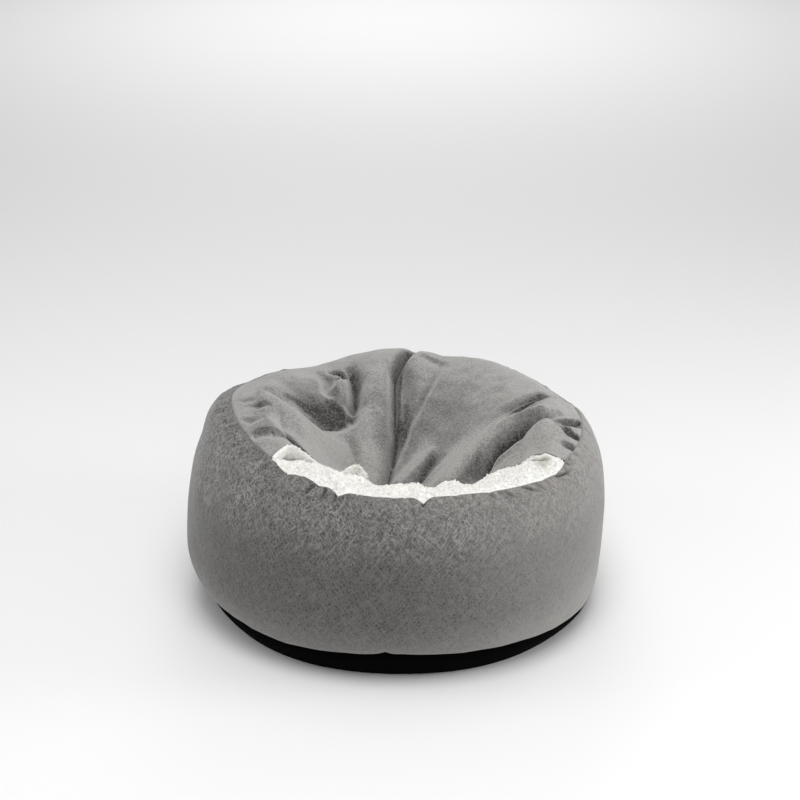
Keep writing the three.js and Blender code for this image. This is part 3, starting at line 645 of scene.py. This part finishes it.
# Folds by name: widths of the left and right flank, sharp (0 is a soft fold, 1 a crease), how round
# its ridge is, then a path that runs inwards from the seam: x, y and the height there.
foldTable = {
    "leftRidge": (12, 44, 0.5, 3, [
        (-222, 24, 3), (-205, 2, 7), (-190, -18, 11), (-160, -40, 14), (-132, -40, 15), (-105, -28, 13),
        (-82, -17, 7), (-62, -10, 0)]),
    "leftHollow": (50, 12, 0.35, 2, [
        (-206, 30, -5), (-192, 14, -11), (-176, -4, -16), (-152, -12, -20), (-131, -10, -23),
        (-111, 4, -23), (-92, 18, -19), (-76, 30, -13), (-62, 40, -8), (-50, 46, -3)]),
    "backDart": (13, 12, 0.3, 2, [
        (-68, 150, 0), (-66, 136, -7), (-62, 122, -16), (-58, 103, -20), (-58, 80, -20), (-61, 62, -14),
        (-62, 48, -6)]),
    "puffEdge": (7, 7, 0.2, 2, [
        (-94, 62, 1.5), (-84, 58, 2), (-76, 56, 2.5), (-66, 56, 2.5), (-56, 56, 2), (-48, 54, 0)]),
    "backPuff": (13, 13, 0, 2, [(-74, 116, 5), (-80, 100, 9), (-85, 86, 8), (-87, 72, 3)]),
    "hookCrease": (5, 6, 0.5, 1, [
        (-97, 136, -4), (-88, 137, -10), (-79, 132, -14), (-74, 121, -14), (-77, 113, -9), (-85, 114, -3)]),
    "hookShade": (18, 12, 0, 2, [(-112, 122, -4), (-104, 110, -6), (-100, 94, -6), (-98, 78, -4)]),
    "hemCrease": (9, 12, 0.4, 2, [
        (-196, -124, -5), (-180, -115, -9), (-162, -116, -10), (-142, -110, -8), (-126, -111, -6),
        (-112, -118, -2)]),
    "middlePanel": (26, 24, 0, 2, [
        (-36, 175, 4), (-33, 104, 8), (-35, 53, 8), (-42, 4, 7), (-36, -32, 6), (-34, -60, 3)]),
    "middleCrease": (11, 12, 0.7, 1, [
        (38, 232, -4), (30, 212, -9), (23, 194, -15), (15, 172, -19), (8, 150, -21), (0, 128, -21),
        (0, 100, -20), (0, 62, -19), (0, 24, -18), (-4, -8, -17), (-8, -36, -15), (-13, -62, -12),
        (-17, -84, -8)]),
    "creaseEdge": (5, 6, 0.2, 2, [
        (32, 180, 4), (23, 160, 5), (14, 140, 5), (7, 127, 5), (5, 108, 3), (6, 80, 3), (7, 55, 3),
        (6, 40, 0)]),
    "creaseShelf": (14, 9, 0.1, 2, [(14, 130, -4), (14, 87, -8), (13, 55, -9), (8, 23, -9), (0, -6, -6)]),
    "pressedLine": (7, 4, 0.6, 2, [
        (70, 176, -1), (63, 138, -3), (52, 106, -4), (39, 80, -4), (25, 50, -4), (16, 25, -3), (6, -1, -1)]),
    "lowTrough": (14, 10, 0.1, 2, [
        (62, -30, -2), (50, -36, -8), (39, -45, -13), (28, -58, -14), (19, -72, -12), (12, -86, -8)]),
    "lowRidge": (12, 14, 0, 2, [(50, -14, 4), (34, -26, 7), (18, -44, 7), (6, -62, 5)]),
    "rightWedge": (10, 24, 0.3, 2, [
        (242, 78, -4), (234, 64, -12), (218, 44, -16), (205, 26, -17), (186, 10, -15), (167, 0, -10),
        (150, -8, -3)]),
    "thinRidge": (12, 8, 0.4, 2, [
        (243, 22, -3), (224, -4, 3), (206, -16, 9), (188, -17, 9), (167, -19, 7), (148, -24, 4),
        (134, -32, 1)]),
    "rightValley": (9, 15, 0.25, 2, [
        (226, -22, -6), (208, -33, -14), (187, -40, -19), (170, -44, -21), (156, -49, -21),
        (143, -54, -20), (132, -65, -18), (121, -83, -13), (112, -102, -8)]),
    "valleyRidge": (26, 9, 0.4, 2.5, [
        (246, -26, 4), (228, -42, 9), (197, -56, 12), (174, -62, 12), (150, -70, 11), (134, -75, 9),
        (123, -86, 7), (114, -102, 3)]),
    "softLine": (7, 9, 0.3, 2, [
        (254, -45, -2), (224, -80, -2), (198, -84, -3), (172, -78, -3), (148, -82, -1)]),
    "tuckTop": (4, 14, 0.3, 2, [(219, -44, -4), (232, -36, -11), (246, -24, -13), (256, -14, -12)]),
    "tuckSide": (12, 4, 0.3, 2, [(222, -50, -4), (232, -57, -9), (241, -63, -12), (247, -66, -12)]),
    "lowTuck": (5, 10, 0.3, 2, [(224, -84, -4), (231, -86, -10), (238, -89, -13), (241, -92, -12)]),
    "flapFoldHigh": (5, 5, 0.5, 2, [(-218, -28, -2), (-207, -35, -4), (-196, -40, -2)]),
    "flapFoldMiddle": (5, 6, 0.4, 2, [(-200, -50, -2), (-186, -56, -6), (-174, -56, -2)]),
    "flapFoldLow": (6, 6, 0.4, 2, [(-206, -78, -2), (-193, -86, -5), (-180, -84, -2)]),
    "backCrestFold": (9, 8, 0.2, 2, [(38, 190, 1), (48, 180, 4), (60, 174, 4), (70, 168, 2)]),
}


def foldHeight(x, y, left, right, sharp, rounded, path):
    nearest, side, tall = 1e9, 0, 0
    for (x0, y0, h0), (x1, y1, h1) in zip(path[:-1], path[1:]):
        dx, dy = x1 - x0, y1 - y0
        t = np.clip(((x - x0) * dx + (y - y0) * dy) / (dx * dx + dy * dy), 0, 1)
        awayX, awayY = x - (x0 + t * dx), y - (y0 + t * dy)
        away = np.hypot(awayX, awayY)
        closer = away < nearest
        nearest = np.where(closer, away, nearest)
        side = np.where(closer, dx * awayY - dy * awayX, side)
        tall = np.where(closer, mix(h0, h1, t), tall)
    nearest = np.sqrt(nearest**2 + rounded**2) - rounded
    across = np.clip(nearest / np.where(side >= 0, left, right), 0, 1)
    soft = 0.5 * (1 + np.cos(np.pi * across))
    return tall * mix(soft, (1 - across) ** 1.6, sharp)


def foldHeights(x, y, t):
    # folds flatten a little over the crest and end before the seam
    fade = mix(1, 0.6, smooth(t, 0.9, 1.2)) * (1 - smooth(t, 1.75, 1.98))
    tucked = 1 - smooth(t, 1.95, hood["seamShare"])
    return sum(foldHeight(x, y, *fold) * (tucked if name in hood["tucks"] else fade)
               for name, fold in foldTable.items())


# Painted shade (positive, dark) and painted light (negative, pale) on the nap, where folds, hollows and
# flaps fall into shade or face the light, with a little of the nap lying away: widths to the left and right,
# then a path of x, y and the strength there
shadeAndLightStrokes = {
    "aboveLeftRidge": (38, 26, [
        (-208, 44, 0.2), (-175, 42, 0.5), (-150, 46, 0.75), (-130, 46, 0.9), (-108, 46, 1),
        (-86, 48, 0.95), (-66, 54, 0.8), (-52, 58, 0.4)]),
    "ridgeShade": (10, 5, [
        (-152, 27, 0.8), (-136, 28, 1.4), (-119, 30, 1.6), (-102, 32, 1.3), (-85, 34, 0.9), (-70, 39, 0.5)]),
    "leftBack": (26, 26, [(-185, 84, 0.35), (-150, 82, 0.6), (-118, 88, 0.7), (-100, 100, 0.5)]),
    "hook": (16, 16, [(-112, 128, 0.4), (-96, 120, 0.5), (-84, 112, 0.3)]),
    "dart": (13, 10, [(-66, 138, 0.3), (-62, 124, 1.2), (-59, 104, 1.3), (-58, 86, 1.1), (-58, 70, 0.6)]),
    "panelEdge": (8, 12, [(-86, 10, -0.5), (-72, 28, -0.8), (-58, 42, -0.8), (-44, 56, -0.6)]),
    "crease": (8, 15, [
        (36, 216, 1.3), (22, 194, 1.6), (9, 162, 1.6), (5, 130, 1.2), (2, 100, 1.2), (1, 60, 1.2),
        (1, 24, 1.2), (-3, -6, 1.1), (-8, -36, 1), (-13, -64, 0.9)]),
    "strip": (10, 6, [(14, 76, 0.7), (15, 52, 0.7), (11, 32, 0.7), (6, 14, 0.5)]),
    "lowTrough": (14, 14, [(58, -36, 0.2), (38, -54, 0.6), (18, -80, 0.7)]),
    "wedge": (22, 17, [
        (242, 62, 2.6), (224, 52, 2.8), (210, 38, 2.4), (195, 20, 1.8), (176, 2, 1), (160, -8, 0.3)]),
    "aboveValley": (12, 14, [
        (158, -18, -0.5), (134, -24, -0.9), (112, -40, -0.9), (96, -60, -0.8), (78, -74, -0.6)]),
    "lowPanel": (26, 26, [(110, -8, -0.3), (88, -34, -0.7), (70, -60, -0.6), (62, -84, -0.5)]),
    "tuckTop": (11, 15, [(226, -45, 0.8), (240, -33, 2), (252, -20, 2.2)]),
    "tuckSide": (6, 5, [(234, -54, 0.5), (246, -60, 0.9)]),
    "lowTuck": (5, 7, [(228, -86, 0.4), (240, -90, 0.9)]),
    "panel": (20, 20, [(-42, 100, -0.5), (-42, 60, -0.7), (-42, 10, -0.7), (-36, -50, -0.6)]),
    "leftOfTrough": (18, 18, [(44, 12, -0.3), (36, -14, -0.8), (24, -34, -0.9), (12, -54, -0.4)]),
    "leftSeam": (20, 20, [(-222, 4, -0.3), (-212, -30, -0.5), (-204, -66, -0.4)]),
    "flapEdge": (12, 14, [(-176, -92, 0.5), (-150, -98, 1.5), (-132, -103, 2), (-116, -110, 1.8)]),
    "leftLobe": (26, 26, [(-176, 62, 0.3), (-150, 62, 0.4), (-130, 66, 0.4)]),
    "flapTop": (16, 16, [(215, -62, -0.7), (185, -70, -1), (160, -78, -1), (140, -86, -0.9)]),
    "rightPanel": (40, 40, [
        (60, 150, 0), (72, 104, -0.05), (120, 92, -0.15), (132, 44, -0.1), (92, 8, 0.15)]),
    "thinRidge": (11, 9, [
        (240, 16, -0.4), (206, -22, -0.8), (167, -26, -0.9), (140, -36, -0.9), (124, -50, -0.7)]),
    "rightFlap": (22, 22, [(246, -86, -0.5), (204, -88, -0.9), (165, -90, -1), (130, -100, -0.8)]),
}


def hemLine(u, heights, crestZ):
    # along the hood's free edge, from the focus (u 0) to the crest
    inner = sum(np.interp(u + d, hood["hemShares"], heights) for d in (-0.06, -0.03, 0, 0.03, 0.06)) / 5
    return mix(inner, crestZ, np.sin(np.clip((u - 0.85) / 0.15, 0, 1) * np.pi / 2))


def hoodPlain(bearing, t):
    # t is 0 at the focus, 1 on the crest and 2 at the seam
    b, t = np.broadcast_arrays(bearing, t)
    crestR, crestZ = ring("crest", b)
    crest = pointAt(b, crestR, crestZ)
    u = np.clip(t, 0, 1)
    free = mix(hood["lowHeight"], crestZ, np.sin(u * np.pi / 2) ** hood["rise"])
    fromRight, fromLeft = b - hood["rightEnd"], hood["leftEnd"] - b
    hem = np.where(fromRight < fromLeft, hemLine(u, hood["hemRight"], crestZ),
                   hemLine(u, hood["hemLeft"], crestZ))
    height = mix(hem, free, smooth(np.minimum(fromRight, fromLeft), 0, hood["hemBlend"]))
    focusX, focusY = hood["focus"]
    inner = np.stack([mix(focusX, crest[..., 0], u), mix(focusY, crest[..., 1], u), height], -1)
    outer = pointAt(b, *shoulder(b, 2 - np.clip(t, 1, 2)))
    return np.where((t <= 1)[..., None], inner, outer)


def hoodTop(bearing, t):
    points = hoodPlain(bearing, t)
    t = np.broadcast_to(t, points.shape[:-1])
    corner = (1 - smooth(np.abs(t - 1), 0, 0.35)) * (1 - smooth(bearing - hood["rightEnd"], 0, 18))
    points[..., 2] += crestRise(bearing) * smooth(t, 0.55, 1) - 6 * corner
    points[..., 2] += foldHeights(points[..., 0], points[..., 1], t)
    points[..., 2] += swells(points, hood["rumples"]) * smooth(2 - t, 0.02, 0.3)
    return points


def roomUnderHood(places):
    # highest the wall may reach at these places without touching the hood
    b = np.linspace(hood["rightEnd"], hood["leftEnd"], 240)
    bb, tt = np.meshgrid(b, np.linspace(hood["bite"], 1, 60), indexing="ij")
    under = hoodTop(bb, tt).reshape(-1, 3)
    low = []
    for place in places:
        away = np.hypot(under[:, 0] - place[0], under[:, 1] - place[1])
        low.append(np.min(under[:, 2] + np.maximum(away - 4, 0) * 3) - 14)
    return np.array(low)


def makeHoodCover():
    shares = np.concatenate([np.linspace(hood["bite"], 1, 92), np.linspace(1, hood["seamShare"], 34)[1:]])
    spread = np.linspace(0, 1, hood["columns"]) ** 1.2  # finer on the right, where the folds are tight
    start = hood["rightEnd"] + 0.4
    end = hood["leftEnd"] - 0.4
    b, t = np.meshgrid(mix(start, end, spread), shares, indexing="ij")
    upper = hoodTop(b, t)
    upper[..., 2] -= 1.8 * smooth(t, 1.93, hood["seamShare"]) ** 2  # the edge dives into the seam
    piece = newSheet("hoodCover", upper, upper - [0, 0, hood["thickness"]], plushMaterial)
    # painted shade: steep slopes that face the front, away from the light, are darkened in colour; the nap,
    # brushed towards the back, adds a little
    normal = np.cross(np.gradient(upper, axis=1), np.gradient(upper, axis=0))
    normal /= np.linalg.norm(normal, axis=-1)[..., None]
    normal *= np.sign(normal[..., 2:3])
    facing = (-normal[..., 1] - 0.25 * normal[..., 0] - 0.4) * 2.2
    x, y = upper[..., 0], upper[..., 1]
    # painted shade deep in the folds
    sunk = 0.62 * smooth(-foldHeights(x, y, t), 6, 22)
    # painted light: the flaps beside the hem, which face up into the light, stay pale
    flap = 0.7 * np.maximum(1 - smooth(b - start, 4, 20), 0.7 * (1 - smooth(end - b, 4, 16)))
    strokes = sum(foldHeight(x, y, left, right, 0, 2, path) for left, right, path in shadeAndLightStrokes.values())
    away = np.clip(facing + sunk - flap + strokes, -0.7, 1.25)
    setAttribute(piece, "napAndPaintedShade", away, away)
    return cleanShell(piece)


# The fleece's turned hem at both ends of the hood
turnedHem = {
    # its two sides from the free edge inwards: mm in front of the hem, height over the cover's edge
    "face": ([1.3, 3, 3.2, 1, -2.9, -5, -11, -19, -30, -42, -56, -72],
             [1.7, 0.8, -2.4, -7, -12.5, -15, -21, -25.5, -25, -20, -13.5, -10]),
    "back": ([0.8, 0.9, 0.6, -1.4, -2.95, -7, -13, -20, -30, -42, -56, -72],
             [0.8, -0.6, -3.6, -6.8, -8.2, -12, -17, -20.5, -20, -15.5, -9.5, -6]),
    # how deep it hangs, along the hem from the focus to the seam
    "depth": [(0.1, 0.3), (0.46, 0.3), (0.56, 0.6), (0.8, 1.2), (1.1, 1.5), (1.6, 1.4), (1.93, 0.9)],
    # a corner of fleece turned up at the left like an ear: its height along the hem
    "ear": [(0.05, 0), (0.1, 4), (0.125, 16), (0.15, 31), (0.18, 42), (0.22, 46), (0.26, 46), (0.31, 41),
            (0.36, 32), (0.41, 21), (0.46, 10), (0.51, 4), (0.57, 0)],
    # how far each row across the hem rises with the ear and leans back
    "earRows": [(1, -0.15), (0.93, -0.17), (0.66, -0.25), (0.3, -0.22), (0.1, -0.1), (0, 0)],
    "perDegree": 3.4,  # mm along the rim to a degree of bearing
    "shadowLine": 2.6,  # how far the right end stays below the cover's edge
    "lumps": [(0.7, 9, 8)],
}


def acrossHem(side):
    # the tables hold corners; the part that runs under the hood is sampled every 3 mm
    out, up = np.array(turnedHem[side], float)
    inner = np.arange(-3, -73, -3.0)
    keep = out > -3
    return zip(np.concatenate([out[keep], inner]), np.concatenate([up[keep], np.interp(-inner, -out, up)]))


def hemColumns(shares, side, left):
    # columns of points across one turned end, and how much shade is painted on each
    end, inward = (hood["leftEnd"], -1) if left else (hood["rightEnd"], 1)
    depth = np.interp(shares, *zip(*turnedHem["depth"]))
    ear = np.interp(shares, *zip(*turnedHem["ear"])) * left
    step = hoodTop(end - inward * 0.2, shares) - hoodTop(end, shares)
    step[:, 2] = 0
    outwards = step / np.linalg.norm(step, axis=1)[:, None]
    columns, pressed = [], []
    for k, (out, up) in enumerate(acrossHem(side)):
        rise, lean = turnedHem["earRows"][min(k, 5)]
        drop = 0 if left or k > 2 else turnedHem["shadowLine"]
        place = hoodTop(end + inward * max(-out, 0) / turnedHem["perDegree"], shares)
        place += outwards * (max(out, 0) + lean * ear * rise)[:, None]
        place[:, 2] += (up - drop) * np.where(up > -4, 1, depth) + ear * rise
        columns.append(place)
        # painted shade on the face of the ear at the left, and in the pocket of the turned hem at the right
        pressed.append(ear / 300 * (k < 6) if left else shares * 0 + 0.9 * (2 < k < 9))
    return columns, pressed


def makeHoodFleece():
    shares = np.concatenate([np.linspace(hood["bite"], 1, 90), np.linspace(1, 1.93, 30)[1:]])
    bearings = np.linspace(hood["rightEnd"] + 24, hood["leftEnd"] - 24, 150)
    between = [hoodTop(bearing, shares) for bearing in bearings]
    sides = []
    for side, below in (("back", 6), ("face", 10)):
        right, pressedRight = hemColumns(shares, side, False)
        left, pressedLeft = hemColumns(shares, side, True)
        sides.append(np.stack(right + [p - [0, 0, below] for p in between] + left[::-1]))
    back, face = sides
    face[..., 2] += swells(face, turnedHem["lumps"])
    pressed = np.stack(pressedRight + [shares * 0] * len(between) + pressedLeft[::-1])
    inwards = np.minimum(np.arange(len(pressed)), np.arange(len(pressed))[::-1])[:, None]
    curly = (inwards < 6) * (1 - smooth(shares, 0.96, 1))
    piece = newSheet("hoodFleece", back, face, fleeceMaterial)
    setAttribute(piece, "pressed", pressed, pressed)
    setAttribute(piece, "curly", curly * 0, curly)
    return cleanShell(piece)


# Fleece over the front lip
lining = {
    "columns": 360,
    "thickness": 5,
    "edge": 0.7,  # its thickness at the seam
    "hang": 60,
    "lumps": [(4.5, 19, 9), (3.15, 10, 10), (1.35, 5, 11)],
    "pressed": (57.5, 0.64, 0.8),  # painted shade on the lip in the right end's pocket: bearing, share, strength
}


def makeLining():
    spread = np.linspace(-1, 1, lining["columns"])
    middle = (hood["leftEnd"] - 360 + hood["rightEnd"]) / 2
    reach = (hood["rightEnd"] - hood["leftEnd"] + 360) / 2
    shadeBearing, shadeShare, shadeStrength = lining["pressed"]
    rows, pressed = [], []
    for share in np.linspace(0, 1, 26):
        b = middle + spread * (reach + mix(-0.8, 4, share))
        rows.append(pointAt(b, *lipPoint(b, share)))
        # a patch of painted shade beside the right end's pocket
        beside = 1 - smooth(np.abs(b - shadeBearing), 2.5, 6)
        pressed.append(shadeStrength * beside * (1 - smooth(abs(share - shadeShare), 0.15, 0.33)))
    crestR, crestZ = lipPoint(b, 1)
    for share in np.linspace(0, 1, 26)[1:]:
        angle = share * np.pi / 2
        r = mix(crestR, wall["nestRadius"] - 4, math.sin(angle))
        z = crestZ - wall["rollHeight"] * (1 - math.cos(angle))
        rows.append(pointAt(b, r, np.minimum(z, roomUnderHood(pointAt(b, r, z)) + 5)))
    bottom = rows[-1]
    rows += [bottom - [0, 0, lining["hang"] * share] for share in (0.25, 0.5, 0.75, 1)]
    grid = np.stack(rows, 1)
    pressed = np.stack(pressed + [b * 0] * (len(rows) - len(pressed)), 1)
    down = np.arange(grid.shape[1])[None, :]
    upper = grid.copy()
    upper[..., 2] += swells(grid, lining["lumps"]) * smooth(down, 1, 8)
    upper[:, 0, 2] -= 0.5
    thick = mix(lining["edge"], lining["thickness"], smooth(down, 0, 7))
    radial = grid * [1, 1, 0] / np.linalg.norm(grid[..., :2], axis=-1)[..., None]
    lower = mix(grid - np.array([0, 0, 1]) * thick[..., None], grid + radial * lining["thickness"] * 0.75,
                smooth(down, 30, 48)[..., None])
    piece = newSheet("liningFleece", upper, lower, fleeceMaterial)
    setAttribute(piece, "pressed", pressed, pressed)
    curly = smooth(down, 0, 3) * (1 - smooth(down, 30, 40)) * (1 - pressed)
    setAttribute(piece, "curly", curly, curly * 0)
    return cleanShell(piece)


# Loose curls of pile on the fleece that shows, scattered over its surface by geometry nodes
curls = {
    "Density": 110000.0,  # curls on a square metre
    "Curl Radius": 0.0011,
    "Yarn Radius": 0.0007,
    "Seed": 5,
}


def makeCurlTree():
    tree = bpy.data.node_groups.new("fleeceCurls", "GeometryNodeTree")
    tree.interface.new_socket("Geometry", in_out="INPUT", socket_type="NodeSocketGeometry")
    for name, value in curls.items():
        kind = "NodeSocketInt" if isinstance(value, int) else "NodeSocketFloat"
        tree.interface.new_socket(name, in_out="INPUT", socket_type=kind).default_value = value
    tree.interface.new_socket("Pile", in_out="INPUT", socket_type="NodeSocketMaterial")
    tree.interface.new_socket("Geometry", in_out="OUTPUT", socket_type="NodeSocketGeometry")
    given = addNode(tree, "NodeGroupInput").outputs
    seed = given["Seed"]
    # only where the attribute says that the pile is free
    shown = addNode(tree, "GeometryNodeInputNamedAttribute", {"Name": "curly"}, data_type="FLOAT")
    density = addNode(tree, "ShaderNodeMath", {0: given["Density"], 1: shown}, operation="MULTIPLY")
    points = addNode(tree, "GeometryNodeDistributePointsOnFaces", {
        "Mesh": given["Geometry"], "Density": density, "Seed": seed}, distribute_method="RANDOM")
    hook = addNode(tree, "GeometryNodeCurveArc", {
        "Resolution": 6, "Radius": given["Curl Radius"], "Sweep Angle": math.radians(250)})
    yarn = addNode(tree, "GeometryNodeCurvePrimitiveCircle", {
        "Resolution": 4, "Radius": given["Yarn Radius"]})
    curl = addNode(tree, "GeometryNodeCurveToMesh", {
        "Curve": hook, "Profile Curve": yarn, "Fill Caps": True})
    turn = addNode(tree, "FunctionNodeRandomValue", {0: (0, 0, 0), 1: (6.28, 6.28, 6.28), "Seed": seed},
                   data_type="FLOAT_VECTOR")
    grow = addNode(tree, "FunctionNodeRandomValue", {2: 0.7, 3: 1.2, "Seed": seed}, data_type="FLOAT")
    placed = addNode(tree, "GeometryNodeInstanceOnPoints", {
        "Points": points, "Instance": curl, "Rotation": turn.outputs[0], "Scale": grow.outputs[1]})
    real = addNode(tree, "GeometryNodeRealizeInstances", {"Geometry": placed})
    smoothed = addNode(tree, "GeometryNodeSetShadeSmooth", {"Geometry": real})
    painted = addNode(tree, "GeometryNodeSetMaterial", {"Geometry": smoothed, "Material": given["Pile"]})
    addNode(tree, "NodeGroupOutput", {"Geometry": painted})
    return tree


def growCurls(name, source, tree):
    piece = addObject(name, source.data.copy())
    modifier = piece.modifiers.new("curls", "NODES")
    modifier.node_group = tree
    sockets = {item.name: item.identifier for item in tree.interface.items_tree if item.in_out == "INPUT"}
    for key, value in {**curls, "Pile": fleeceMaterial}.items():
        modifier[sockets[key]] = value
    bpy.context.view_layer.update()
    ready = piece.evaluated_get(bpy.context.evaluated_depsgraph_get())
    mesh = bpy.data.meshes.new_from_object(ready)
    piece.modifiers.remove(modifier)
    piece.data = mesh
    print(name, "has", len(mesh.polygons), "faces")
    return piece


# The filled fleece floor of the nest
nest = {
    # from the underside round to the top: radius, height
    "section": [(0.001, 4), (120, 4), (134, 5), (142, 9), (146, 16), (145, 24), (139, 31), (124, 38),
                (95, 44), (60, 48), (25, 49.5), (0.001, 50)],
    "lumps": [(1.5, 30, 12)],
}


def makeNestCushion():
    b = np.arange(120) * 3.0
    grid = np.stack([pointAt(b, r, z) for r, z in nest["section"]], 1)
    grid[..., 2] += swells(grid, nest["lumps"]) * (grid[..., 2] > 12)
    faces = gridFaces(*grid.shape[:2], wrapColumns=True)
    return cleanShell(newObject("nestCushion", grid, faces, fleeceMaterial), 0.1)


# The black cloth under the bed, a dish that turns up to the lower seam
base = {
    "columns": 480,
    "turn": 25,  # how far inside the lower seam the cloth leaves the floor
    "thickness": 3,
}


def makeBasePanel():
    b = np.arange(base["columns"]) * 360 / base["columns"]
    rimR, rimZ = ring("rim", b)[0], rimHeight(b)
    contact, edge, top, thick = rimR - base["turn"], rimR - 1.5, rimZ - 1.2, base["thickness"]

    def turnUp(share):
        return mix(contact, edge, math.sin(share * np.pi / 2))

    outline = [(contact * 0.001, 0), (contact * 0.6, 0), (contact - 3, 0), (contact, 0.4)]
    outline += [(turnUp(share), top * share) for share in (0.15, 0.3, 0.5, 0.7, 0.85, 1)]
    outline += [(edge - 2, top + 0.2)]
    outline += [(turnUp(share) - thick, top * share + thick / 2) for share in (0.85, 0.5, 0.2)]
    outline += [(contact - 4, thick), (contact * 0.5, thick), (contact * 0.001, thick)]
    grid = np.stack([pointAt(b, r, z) for r, z in outline], 1)
    faces = gridFaces(*grid.shape[:2], wrapColumns=True)
    return cleanShell(newObject("basePanel", grid, faces, baseMaterial), 1)


wallFabric = makeWall()
hoodCover = makeHoodCover()
hoodFleece = makeHoodFleece()
liningFleece = makeLining()
curlTree = makeCurlTree()
lipCurls = growCurls("lipCurls", liningFleece, curlTree)
hemCurls = growCurls("hemCurls", hoodFleece, curlTree)
nestCushion = makeNestCushion()
basePanel = makeBasePanel()

pieces = [
    (wallFabric, "wall_bolster", "microsuede"),
    (hoodCover, "hood_cover", "plush"),
    (hoodFleece, "hood_fleece", "fleece"),
    (liningFleece, "lining_band", "fleece"),
    (lipCurls, "lining_band", "fleece"),
    (hemCurls, "hood_fleece", "fleece"),
    (nestCushion, "nest_cushion", "fleece"),
    (basePanel, "base_panel", "base_fabric"),
]
for piece, node, slot in pieces:
    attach(piece, "root")
    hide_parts(node)

print("soft pieces joined to the frame")
